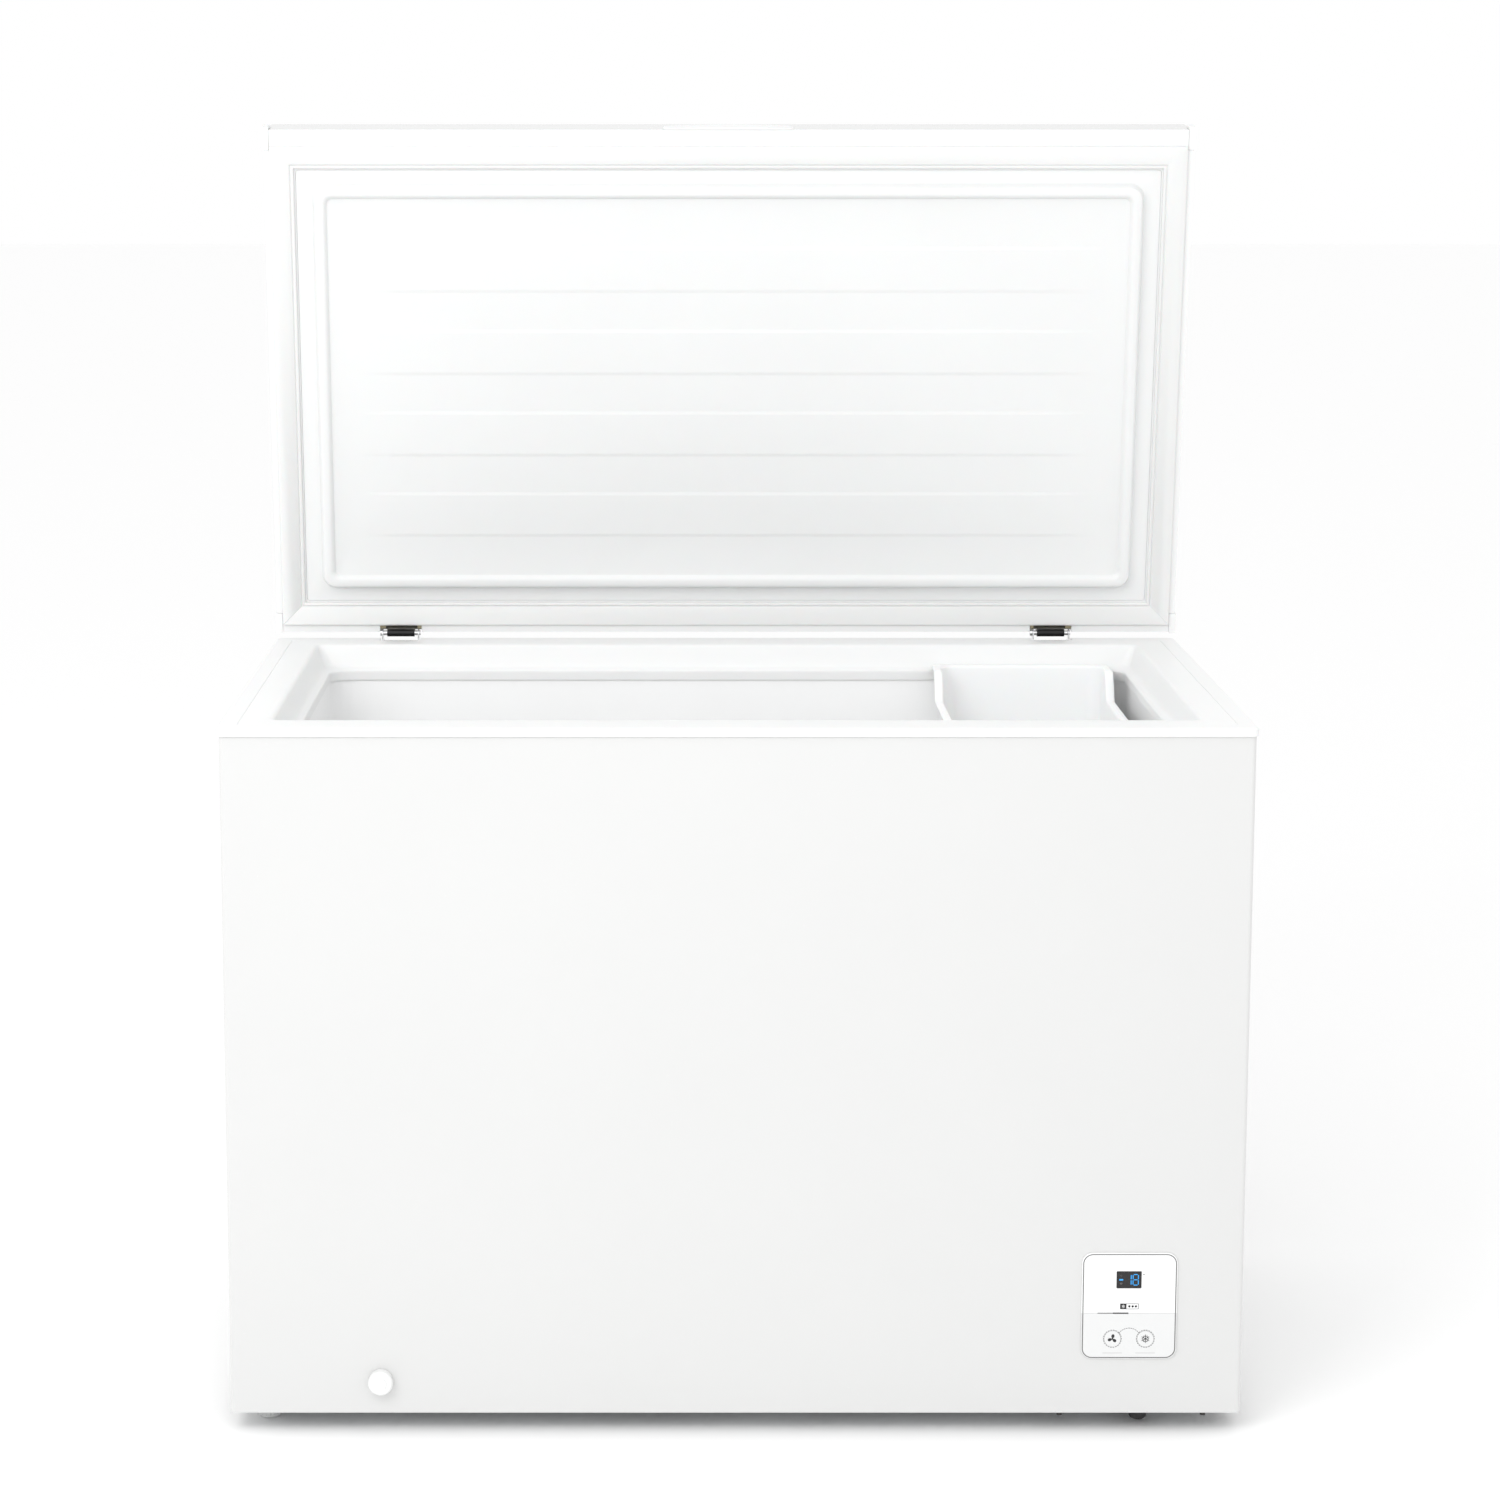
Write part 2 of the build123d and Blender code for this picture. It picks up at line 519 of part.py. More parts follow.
with BuildPart() as compressor_tray:
    ring(level(TRAY_Z + 1), tray_mid, tray_size, grown(tray_size, -TRAY_T), 12, 3, 1.5)
    slab(level(TRAY_Z + 1), tray_mid, tray_size, TRAY_T, radius=3)
    pegs(level(TRAY_Z), bolt_points, 3.3, 5, mode=Mode.SUBTRACT)
    pegs(level(TRAY_Z), [(BUFFER_X, BOLT_Y[0])], 6.3, 5, mode=Mode.SUBTRACT)
    pegs(level(TRAY_Z), MOUNT_POINTS, 3.3, 5, mode=Mode.SUBTRACT)
    pegs(level(TRAY_Z), [(x, y) for x, y in FEET.values() if x > 0], STUD_R + 4.5, 5,
         mode=Mode.SUBTRACT)
finish(compressor_tray, "compressor_tray")

tray_top = TRAY_Z + 1 + TRAY_T
tray_low = TRAY_Z + 1
with BuildPart() as tray_bolts:
    hexes(level(tray_top + 0.1), bolt_points, 6.5, 4)
    pegs(level(8.5), bolt_points, 3.0, tray_top + 0.3 - 8.5)
    pegs(level(tray_low - 1.7), bolt_points, 7.5, 1.5)
    hexes(level(tray_low - 7.7), bolt_points, 6.5, 6.0)
finish(tray_bolts, "tray_bolts")

BUFFER_R = 20.0
NOSE_R = 10.0  # the buffer's rounded nose, which hangs just clear of the floor
NOSE_LOW = 4.6
NOSE_ROUND = 6.0
with BuildPart() as tray_buffer:
    with BuildSketch(facing_front(BOLT_Y[0])) as half:
        with BuildLine():
            nose_x = BUFFER_X + NOSE_R - NOSE_ROUND
            nose_z = NOSE_LOW + NOSE_ROUND
            Polyline((BUFFER_X + NOSE_R, nose_z), (BUFFER_X + 13, tray_low - 5.2),
                     (BUFFER_X + BUFFER_R, tray_low - 5.2), (BUFFER_X + BUFFER_R, tray_low - 0.2),
                     (BUFFER_X + 6, tray_low - 0.2), (BUFFER_X + 6, tray_top + 0.2),
                     (BUFFER_X + 10, tray_top + 0.2), (BUFFER_X + 10, tray_top + 3.2),
                     (BUFFER_X, tray_top + 3.2), (BUFFER_X, NOSE_LOW), (nose_x, NOSE_LOW))
            CenterArc((nose_x, nose_z), NOSE_ROUND, 270, 90)
        make_face()
    revolve(half.sketch, axis=Axis((BUFFER_X, BOLT_Y[0], 0), (0, 0, 1)))
finish(tray_buffer, "tray_buffer")

GROMMET_H = 14.0
bracket_z = tray_top + GAP + GROMMET_H
with BuildPart() as compressor_grommets:
    pegs(level(tray_top + GAP), MOUNT_POINTS, 10.0, GROMMET_H - GAP)
    pegs(level(tray_top), MOUNT_POINTS, 3.6, GROMMET_H + 4, mode=Mode.SUBTRACT)
finish(compressor_grommets, "compressor_grommets")

with BuildPart() as compressor_bracket:
    slab(level(bracket_z), (COMP_X, COMP_Y), (2 * COMP_FOOT_X + 24, 2 * COMP_FOOT_Y + 24), 3.0,
         radius=10)
    pegs(level(bracket_z), MOUNT_POINTS, 3.6, 3.0, mode=Mode.SUBTRACT)
    pegs(level(bracket_z), [(COMP_X, COMP_Y)], 45, 3.0, mode=Mode.SUBTRACT)
finish(compressor_bracket, "compressor_bracket")

with BuildPart() as compressor_bolts:
    pegs(level(tray_low - 3), MOUNT_POINTS, 3.0, bracket_z + 8 - tray_low + 3)
    pegs(level(bracket_z + 3.1), MOUNT_POINTS, 8.0, 1.5)
    hexes(level(bracket_z + 4.5), MOUNT_POINTS, 6.0, 5.0)
    hexes(level(tray_low - 5.2), MOUNT_POINTS, 6.0, 5.0)
finish(compressor_bolts, "compressor_bolts")

SHELL_LOW = bracket_z + 3.2
COMP_R = 72.0
COMP_H = 160.0
SEAM_Z = SHELL_LOW + 70
with BuildPart() as compressor_shell:
    with BuildSketch(facing_front(COMP_Y)) as half:
        with BuildLine():
            Line((COMP_X, SHELL_LOW), (COMP_X + COMP_R - 25, SHELL_LOW))
            RadiusArc((COMP_X + COMP_R - 25, SHELL_LOW), (COMP_X + COMP_R - 3, SHELL_LOW + 22),
                      -22)
            Polyline((COMP_X + COMP_R - 3, SHELL_LOW + 22), (COMP_X + COMP_R - 3, SEAM_Z),
                     (COMP_X + COMP_R + 2, SEAM_Z), (COMP_X + COMP_R + 2, SEAM_Z + 4),
                     (COMP_X + COMP_R - 3, SEAM_Z + 4), (COMP_X + COMP_R - 3, SHELL_LOW + 110))
            Spline((COMP_X + COMP_R - 3, SHELL_LOW + 110), (COMP_X + 45, SHELL_LOW + 148),
                   (COMP_X, SHELL_LOW + COMP_H), tangents=[(0, 1), (-1, 0)])
            Line((COMP_X, SHELL_LOW + COMP_H), (COMP_X, SHELL_LOW))
        make_face()
    revolve(half.sketch, axis=Axis((COMP_X, COMP_Y, 0), (0, 0, 1)))
finish(compressor_shell, "compressor_shell")

RELAY_LOW = 30.0
RELAY_W = 66.0
RELAY_D = 36.0
RELAY_H = 62.0
with BuildPart() as relay_cover:
    slab(level(SHELL_LOW + RELAY_LOW), (COMP_X - 5, COMP_Y + COMP_R + RELAY_D / 2 + 4),
         (RELAY_W, RELAY_D), RELAY_H, radius=6)
finish(relay_cover, "relay_cover")

pipe_z = SHELL_LOW + 36
with BuildPart() as suction_pipe:
    start_y = COMP_Y - COMP_R + 2.6
    tube([(COMP_X - 34, start_y - 12, pipe_z), (COMP_X - 34, start_y - 50, pipe_z),
          (COMP_X - 34, start_y - 50, pipe_z + 130), (COMP_X - 95, start_y - 50, pipe_z + 130)],
         16, 4.0)
finish(suction_pipe, "suction_pipe")

with BuildPart() as discharge_pipe:
    tube([(COMP_X + 34, start_y - 12, pipe_z), (COMP_X + 34, start_y - 74, pipe_z),
          (COMP_X + 34, start_y - 74, pipe_z + 118), (COMP_X - 95, start_y - 74, pipe_z + 118)],
         14, 3.0)
finish(discharge_pipe, "discharge_pipe")

DRIER_X = 370.0
DRIER_Y = 190.0
DRIER_LOW = 70.0
DRIER_TOP = 190.0
neck = DRIER_X + 3.0
barrel = DRIER_X + 9.5
with BuildPart() as filter_drier:
    with BuildSketch(facing_front(DRIER_Y)) as half:
        with BuildLine():
            Polyline((DRIER_X, DRIER_LOW), (neck, DRIER_LOW), (neck, DRIER_LOW + 10),
                     (barrel, DRIER_LOW + 20), (barrel, DRIER_TOP - 20), (neck, DRIER_TOP - 10),
                     (neck, DRIER_TOP), (DRIER_X, DRIER_TOP), close=True)
        make_face()
    revolve(half.sketch, axis=Axis((DRIER_X, DRIER_Y, 0), (0, 0, 1)))
finish(filter_drier, "filter_drier")

SLOT = 5.0
with BuildPart() as rear_grille:
    face_y = SHELL_REAR + GAP
    slab(facing_front(face_y + 3), (REAR_GRILLE_X, REAR_GRILLE_Z),
         (REAR_GRILLE_W, REAR_GRILLE_H), 3, radius=6)
    with BuildSketch(facing_front(face_y + 3)) as slots:
        with Locations((REAR_GRILLE_X, REAR_GRILLE_Z)):
            with GridLocations(76, 12, 2, 13):
                SlotOverall(66, SLOT)
    extrude(slots.sketch, amount=4, mode=Mode.SUBTRACT)
    screw_xz = [(REAR_GRILLE_X + sx * (REAR_GRILLE_W / 2 - 7),
                 REAR_GRILLE_Z + sz * (REAR_GRILLE_H / 2 - 7))
                for sx in (-1, 1) for sz in (-1, 1)]
    pegs(facing_front(face_y + 3), screw_xz, 2.2, 4, mode=Mode.SUBTRACT)
finish(rear_grille, "rear_grille")

with BuildPart() as rear_grille_screws:
    pegs(facing_front(face_y + 5.2), screw_xz, 4.0, 2.1)
    pegs(facing_front(face_y + 3.2), screw_xz, 1.9, 2.9)
finish(rear_grille_screws, "rear_grille_screws")

with BuildPart() as side_grille:
    face_x = SHELL_W / 2 + GAP
    slab(facing_right(face_x), (SIDE_GRILLE_Y, SIDE_GRILLE_Z), (SIDE_GRILLE_W, SIDE_GRILLE_H),
         2.0, radius=8)
    slab(facing_right(face_x - 6), (SIDE_GRILLE_Y, SIDE_GRILLE_Z),
         (SIDE_GRILLE_W - 18, SIDE_GRILLE_H - 18), 6, radius=5)
    slab(facing_right(face_x - 7), (SIDE_GRILLE_Y, SIDE_GRILLE_Z),
         (SIDE_GRILLE_W - 23, SIDE_GRILLE_H - 23), 7, radius=3, mode=Mode.SUBTRACT)
    with BuildSketch(facing_right(face_x - 1)) as slots:
        with Locations((SIDE_GRILLE_Y, SIDE_GRILLE_Z)):
            with GridLocations(62, 11, 3, 12):
                SlotOverall(54, SLOT)
    extrude(slots.sketch, amount=5, mode=Mode.SUBTRACT)
finish(side_grille, "side_grille")

with BuildPart() as cable_gland:
    here = [(GLAND_X, GLAND_Z)]
    pegs(facing_front(SHELL_REAR + 8), here, 11, 7.7)
    pegs(facing_front(SHELL_REAR + 1), here, 7.6, 24)
    pegs(facing_front(SHELL_REAR + 9), here, 4.0, 40, mode=Mode.SUBTRACT)
finish(cable_gland, "cable_gland")

# ------------------------------------------------------------------ hinges on the cabinet
HEAD_FRONT = REAR - 6.5
HEAD_TOP = PIN_Z + 4.8
SPRING_R = 7.0
SPRING_WIRE = 1.4
back_face = SHELL_REAR + GAP


def hinge_cheek(x):
    """One side plate of a hinge, from its box up round the pin."""
    with BuildSketch(facing_right(x)) as outline:
        with BuildLine():
            Polyline((PIN_Y + 4.8, PIN_Z), (PIN_Y + 6.3, RIM_TOP - 2), (BOX_Y, RIM_TOP - 6),
                     (BOX_Y, BOX_LOW), (back_face, BOX_LOW), (back_face, HEAD_LOW),
                     (REAR - TRIM_BAND + 2, HEAD_LOW), (REAR - TRIM_BAND + 2, RIM_TOP - 1),
                     (HEAD_FRONT, RIM_TOP - 1), (HEAD_FRONT, PIN_Z),)
            ThreePointArc((HEAD_FRONT, PIN_Z), (PIN_Y - 2.2, HEAD_TOP), (PIN_Y + 4.8, PIN_Z))
        make_face()
    extrude(outline.sketch, amount=PLATE)


for side, name in ((-1, "left"), (1, "right")):
    centre = side * HINGE_X
    with BuildPart() as housing:
        hinge_cheek(centre - HEAD_W / 2)
        hinge_cheek(centre + HEAD_W / 2 - PLATE)
        box_h = RIM_TOP - 6 - BOX_LOW
        slab(facing_front(BOX_Y), (centre, BOX_LOW + box_h / 2), (HEAD_W, box_h), PLATE)
        slab(facing_front(back_face + PLATE), (centre, (BOX_LOW + HEAD_LOW) / 2),
             (HEAD_W + 36, HEAD_LOW - BOX_LOW), PLATE, radius=4)
        slab(level(BOX_LOW), (centre, (back_face + BOX_Y) / 2), (HEAD_W, BOX_Y - back_face), PLATE)
        slab(level(HEAD_LOW), (centre, (REAR - TRIM_BAND + 2 + BOX_Y) / 2),
             (HEAD_W, BOX_Y - REAR + TRIM_BAND - 2), PLATE)
        slab(facing_front(REAR - TRIM_BAND + 2 + PLATE), (centre, (HEAD_LOW + RIM_TOP - 1) / 2),
             (HEAD_W, RIM_TOP - 1 - HEAD_LOW), PLATE)
        pegs(facing_right(centre - HEAD_W), [(PIN_Y, PIN_Z)], PIN_R, 2 * HEAD_W,
             mode=Mode.SUBTRACT)
        pegs(facing_front(back_face + CUT / 2), HINGE_SCREWS, HINGE_SCREW_HOLE, CUT,
             mode=Mode.SUBTRACT)
    finish(housing, f"hinge_housing_{name}")

    with BuildPart() as pin:
        pegs(facing_right(centre - HEAD_W / 2 - 1.5), [(PIN_Y, PIN_Z)], PIN_R - 0.02, HEAD_W + 3)
        pegs(facing_right(centre - HEAD_W / 2 - 2.8), [(PIN_Y, PIN_Z)], 4.2, 2.6)
    finish(pin, f"hinge_pin_{name}")

    with BuildPart() as spring:
        with BuildLine() as coil:
            Helix(pitch=9.0, height=72.0, radius=SPRING_R,
                  center=(centre, (back_face + BOX_Y) / 2 + 0.4, BOX_LOW + 12))
        with BuildSketch(Plane(origin=coil.line @ 0, z_dir=coil.line % 0)) as wire:
            Circle(SPRING_WIRE)
        sweep(wire.sketch, path=coil.line)
    finish(spring, f"hinge_spring_{name}")

with BuildPart() as hinge_housing_screws:
    hexes(facing_front(back_face + PLATE + 3.6), HINGE_SCREWS, 5.0, 3.5)
    pegs(facing_front(back_face + PLATE + 0.4), HINGE_SCREWS, 2.4, 3.0)
finish(hinge_housing_screws, "hinge_housing_screws")

# ------------------------------------------------------------------ feet
FOOT_EDGE = 1.5
GRIP_LOW = 3.0
GRIP_R = 1.2
GRIPS = 18
STUD_LOW = 15.0
STUD_LONG = 27.0
with BuildPart() as foot_sockets:
    for x, y in FEET.values():
        pegs(level(CABINET_BOTTOM + 0.2 if x < 0 else tray_low - 0.2), [(x, y)],
             STUD_R + SOCKET_WALL, SOCKET_H)
        pegs(level(CABINET_BOTTOM - CUT / 2), [(x, y)], STUD_R + FIT, SOCKET_H + SOCKET_WALL,
             mode=Mode.SUBTRACT)
finish(foot_sockets, "foot_sockets")

for name, (x, y) in FEET.items():
    with BuildPart() as foot:
        pegs(level(0), [(x, y)], FOOT_R, FOOT_H)
        chamfer(foot.edges().filter_by(GeomType.CIRCLE).group_by(Axis.Z)[0], FOOT_EDGE)
        with BuildSketch(level(GRIP_LOW)) as grooves:
            with Locations((x, y)):
                with PolarLocations(FOOT_R + GRIP_R / 3, GRIPS):
                    Circle(GRIP_R)
        extrude(grooves.sketch, amount=FOOT_H, mode=Mode.SUBTRACT)
        pegs(level(STUD_LOW), [(x, y)], STUD_R, STUD_LONG)
    finish(foot, name)

# ------------------------------------------------------------------ lid
# The lid's own frame sits on the hinge pin: x to the right, y towards the lid's rear edge,
# z through the lid from its underside to its painted top.
swing = radians(LID_OPEN)
LID = Plane(origin=(0, PIN_Y, PIN_Z), x_dir=(1, 0, 0), z_dir=(0, sin(swing), cos(swing)))
LID_REAR = REAR - PIN_Y
LID_FRONT = LID_REAR - DEPTH
LID_MID = (LID_REAR + LID_FRONT) / 2
LID_UNDER = -1.0
LID_TOP = LID_UNDER + LID_HEIGHT
FRAME_TOP = 5.0
LID_CORNER = 8.0
LID_EDGE_R = 5.0
GASKET_T = 4.4
SIDE_BAND = 7.0  # lid edge to the gasket, sides
REAR_BAND = 9.0
FRONT_BAND = 19.5
GASKET_IN = 36.0  # lid edge to the gasket's inner edge, sides
GASKET_IN_REAR = 38.5
GASKET_IN_FRONT = 46.0
CAP_LONG = 24.0
RECESS_H = 10.0


def lid_level(z):
    """Plane across the lid at a height above the hinge pin, in the lid's frame."""
    return LID.offset(z)


def lid_slab(z, x_range, y_range, height, radius=0.0, mode=Mode.ADD):
    """Box in the lid's frame."""
    slab(lid_level(z), (sum(x_range) / 2, sum(y_range) / 2),
         (x_range[1] - x_range[0], y_range[1] - y_range[0]), height, radius=radius, mode=mode)


def both(x):
    """A range as wide each side of the middle."""
    return (-x, x)


def hinge_recesses(z, height, grow):
    """Cut the two pockets in the lid's rear edge that clear the hinge heads."""
    for side in (-1, 1):
        middle = side * HINGE_X
        half = NOTCH_W / 2 + 1 + grow
        lid_slab(z, (middle - half, middle + half), (LID_REAR - REAR_BAND + 0.4 - grow, LID_REAR + 5),
                 height, mode=Mode.SUBTRACT)


gasket_out_x = WIDTH / 2 - SIDE_BAND
gasket_in_x = WIDTH / 2 - GASKET_IN
gasket_out_y = (LID_FRONT + FRONT_BAND, LID_REAR - REAR_BAND)
gasket_in_y = (LID_FRONT + GASKET_IN_FRONT, LID_REAR - GASKET_IN_REAR)
HALF = WIDTH / 2

HANDLE_HALF = 78.5
HANDLE_SLANT = 4.0
HANDLE_OUT = 3.4
HANDLE_SHOULDER = 1.6
HANDLE_SEAT = 0.3
HANDLE_HIGH = 26.0
SCREW_R = 2.0
SCREW_REACH = 1.5
HEAD_T = 1.6
HANDLE_SCREWS = [(side * 60.0, 15.0) for side in (-1, 1)]
front_of_lid = Plane(origin=LID.from_local_coords((0, LID_FRONT, 0)), x_dir=(1, 0, 0),
                     z_dir=-LID.y_dir)

with BuildPart() as lid_shell:
    lid_slab(FRAME_TOP + 0.2, both(HALF), (LID_FRONT, LID_REAR), LID_TOP - FRAME_TOP - 0.2,
             radius=LID_CORNER)
    top_face = lid_shell.faces().sort_by(Axis(LID.origin, LID.z_dir))[-1]
    fillet(top_face.edges(), radius=LID_EDGE_R)
    with BuildPart(mode=Mode.PRIVATE) as hollow:
        lid_slab(FRAME_TOP, both(HALF - SKIN), (LID_FRONT + SKIN, LID_REAR - SKIN),
                 LID_TOP - FRAME_TOP - SKIN, radius=LID_CORNER - SKIN)
        inner_face = hollow.faces().sort_by(Axis(LID.origin, LID.z_dir))[-1]
        fillet(inner_face.edges(), radius=LID_EDGE_R - SKIN)
    add(hollow.part, mode=Mode.SUBTRACT)
    hinge_recesses(FRAME_TOP - 2, RECESS_H + 2 - FRAME_TOP, 0)
    pegs(front_of_lid.offset(-2 * SKIN), HANDLE_SCREWS, SCREW_R + GAP, 3 * SKIN,
         mode=Mode.SUBTRACT)
finish(lid_shell, "lid_shell")

with BuildPart() as lid_frame:
    lid_slab(LID_UNDER, both(HALF), (LID_FRONT, LID_REAR), FRAME_TOP - LID_UNDER,
             radius=LID_CORNER)
    lid_slab(LID_UNDER, both(gasket_in_x - 2), (gasket_in_y[0] + 2, gasket_in_y[1] - 2),
             FRAME_TOP - LID_UNDER, radius=4, mode=Mode.SUBTRACT)
    hinge_recesses(LID_UNDER - 1, 10, 0)
    for side in (-1, 1):
        for low, high in ((LID_FRONT - 2, LID_FRONT + CAP_LONG + GAP),
                          (LID_REAR - CAP_LONG - GAP, LID_REAR + 2)):
            edge = HALF - SIDE_BAND + 0.2
            xs = (edge, HALF + 2) if side > 0 else (-HALF - 2, -edge)
            lid_slab(LID_UNDER - 1, xs, (low, high), 10, mode=Mode.SUBTRACT)
finish(lid_frame, "lid_frame")

CAP_OUT = 2.0
with BuildPart() as lid_corner_caps:
    for side in (-1, 1):
        for edge, out, sign in ((LID_FRONT, 3.5, 1), (LID_REAR, 1.5, -1)):
            inner_x = HALF - SIDE_BAND + 0.5
            xs = (inner_x, HALF + CAP_OUT) if side > 0 else (-HALF - CAP_OUT, -inner_x)
            ys = (edge - out, edge + CAP_LONG) if sign > 0 else (edge - CAP_LONG, edge + out)
            lid_slab(LID_UNDER - 0.4, xs, ys, FRAME_TOP - LID_UNDER + 0.3, radius=1.4)
            lid_slab(LID_UNDER + 2, xs, ys, 22, radius=1.4)
    lid_slab(FRAME_TOP, both(HALF + 0.2), (LID_FRONT - 0.2, LID_REAR + 0.2), 30,
             radius=LID_CORNER, mode=Mode.SUBTRACT)
finish(lid_corner_caps, "lid_corner_caps")

with BuildPart() as lid_gasket:
    ring(lid_level(LID_UNDER - 0.1 - GASKET_T), (0, sum(gasket_out_y) / 2),
         (2 * gasket_out_x, gasket_out_y[1] - gasket_out_y[0]), (20, 20), GASKET_T, 1.0, 1.0)
    lid_slab(LID_UNDER - 1 - GASKET_T, both(gasket_in_x), gasket_in_y, GASKET_T + 2, radius=1.0,
             mode=Mode.SUBTRACT)
finish(lid_gasket, "lid_gasket")

# liner: flat border, a raised round-cornered ridge, a field inside it with pressed bands
LINER_T = 1.2
RIDGE_DROP = 12.0
FIELD_DROP = 6.0
RIDGE_X = 500.0
RIDGE_IN_X = 487.0
RIDGE_Y = (LID_REAR - 561.0, LID_REAR - 60.0)
RIDGE_IN_Y = (LID_REAR - 547.0, LID_REAR - 73.0)
RIDGE_R = 16.0
BAND_X = 440.0
BAND_PITCH = 102.0
BANDS = [(LID_REAR - low - 50.0, LID_REAR - low) for low in (128.0, 230.0, 332.0, 434.0)]
liner_x = gasket_in_x - 2 - GAP
liner_y = (gasket_in_y[0] + 2 + GAP, gasket_in_y[1] - 2 - GAP)
with BuildPart() as lid_liner:
    lid_slab(LID_UNDER, both(liner_x), liner_y, LINER_T, radius=3.7)
    lid_slab(LID_UNDER - RIDGE_DROP, both(RIDGE_X), RIDGE_Y, RIDGE_DROP + LINER_T, radius=RIDGE_R)
    lid_slab(LID_UNDER - RIDGE_DROP, both(RIDGE_IN_X), RIDGE_IN_Y, RIDGE_DROP - FIELD_DROP,
             radius=RIDGE_R - 6, mode=Mode.SUBTRACT)
    lid_slab(LID_UNDER - FIELD_DROP + LINER_T, both(RIDGE_X - LINER_T),
             (RIDGE_Y[0] + LINER_T, RIDGE_Y[1] - LINER_T), FIELD_DROP + LINER_T,
             radius=RIDGE_R - LINER_T, mode=Mode.SUBTRACT)
    ring(lid_level(LID_UNDER - RIDGE_DROP + LINER_T), (0, sum(RIDGE_Y) / 2),
         (2 * (RIDGE_X - LINER_T), RIDGE_Y[1] - RIDGE_Y[0] - 2 * LINER_T),
         (2 * (RIDGE_IN_X + LINER_T), RIDGE_IN_Y[1] - RIDGE_IN_Y[0] + 2 * LINER_T),
         RIDGE_DROP - FIELD_DROP, RIDGE_R - LINER_T, RIDGE_R - 6 + LINER_T, mode=Mode.SUBTRACT)
    for low, high in BANDS:
        lid_slab(LID_UNDER - FIELD_DROP - 1.2, both(BAND_X), (low, high), 1.4, radius=6)
finish(lid_liner, "lid_liner")

with BuildPart() as lid_foam:
    lid_slab(FRAME_TOP + 0.5, both(HALF - SKIN - GAP), (LID_FRONT + SKIN + GAP, LID_REAR - SKIN - GAP),
             LID_TOP - SKIN - GAP - FRAME_TOP - 0.5, radius=LID_CORNER - SKIN)
    fillet(lid_foam.faces().sort_by(Axis(LID.origin, LID.z_dir))[-1].edges(),
           radius=LID_EDGE_R - SKIN)
    lid_slab(LID_UNDER + LINER_T + GAP, both(liner_x - 2), (liner_y[0] + 2, liner_y[1] - 2),
             FRAME_TOP + 1 - LID_UNDER - LINER_T)
    lid_slab(LID_UNDER - FIELD_DROP + LINER_T + GAP, both(RIDGE_X - LINER_T - 1),
             (RIDGE_Y[0] + LINER_T + 1, RIDGE_Y[1] - LINER_T - 1), 12, radius=RIDGE_R)
    hinge_recesses(FRAME_TOP, RECESS_H - FRAME_TOP + 1, 1)
    for side in (-1, 1):
        middle = side * HINGE_X
        lid_slab(FRAME_TOP, (middle - 20, middle + 20), (LID_REAR - 6, LID_REAR), 42,
                 mode=Mode.SUBTRACT)
    lid_slab(FRAME_TOP, both(80), (LID_FRONT, LID_FRONT + 14), 22, mode=Mode.SUBTRACT)
finish(lid_foam, "lid_foam")

# handle: a shallow lip along the middle of the front edge, screwed on from inside the lid
with BuildPart() as lid_handle:
    with BuildSketch(lid_level(LID_UNDER)) as lip:
        with BuildLine():
            seat = LID_FRONT - HANDLE_SEAT
            shoulder = (HANDLE_HALF - HANDLE_SLANT, LID_FRONT - HANDLE_SHOULDER)
            Polyline((-shoulder[0], shoulder[1]), (-HANDLE_HALF, seat), (HANDLE_HALF, seat), shoulder)
            ThreePointArc(shoulder, (0, LID_FRONT - HANDLE_OUT), (-shoulder[0], shoulder[1]))
        make_face()
    extrude(lip.sketch, amount=HANDLE_HIGH)
    pegs(front_of_lid, HANDLE_SCREWS, SCREW_R, HANDLE_SEAT + SCREW_REACH, mode=Mode.SUBTRACT)
finish(lid_handle, "lid_handle")

with BuildPart() as handle_screws:
    pegs(front_of_lid.offset(-SKIN - GAP - HEAD_T), HANDLE_SCREWS, 2 * SCREW_R, HEAD_T)
    pegs(front_of_lid.offset(-SKIN - GAP - HEAD_T / 2), HANDLE_SCREWS, SCREW_R - GAP / 2,
         HEAD_T / 2 + GAP + SKIN + HANDLE_SEAT + SCREW_REACH - GAP)
finish(handle_screws, "handle_screws")

# ------------------------------------------------------------------ hinge arms on the lid
ARM_W = 34.0
KNUCKLE_R = 4.6
ARM_TOP = 44.0
ARM_OUT = 1.7
for side, name in ((-1, "left"), (1, "right")):
    centre = side * HINGE_X
    with BuildPart() as arm:
        pegs(facing_right(centre - ARM_W / 2), [(PIN_Y, PIN_Z)], KNUCKLE_R, ARM_W)
        lid_slab(0, (centre - ARM_W / 2, centre + ARM_W / 2),
                 (LID_REAR + 0.2, LID_REAR + 0.2 + ARM_OUT), ARM_TOP)
        pegs(facing_right(centre - ARM_W / 2 - 1), [(PIN_Y, PIN_Z)], PIN_R - 0.02 + FIT, ARM_W + 2,
             mode=Mode.SUBTRACT)
    finish(arm, f"hinge_arm_{name}")

with BuildPart() as hinge_arm_screws:
    rear_face = Plane(origin=LID.from_local_coords((0, LID_REAR + 0.3 + ARM_OUT, 0)),
                      x_dir=(-1, 0, 0), z_dir=LID.y_dir)
    spots = [(side * HINGE_X + dx, z) for side in (-1, 1) for dx in (-10, 10) for z in (22, 36)]
    hexes(rear_face, [(-x, z) for x, z in spots], 4.6, 3.0)
finish(hinge_arm_screws, "hinge_arm_screws")

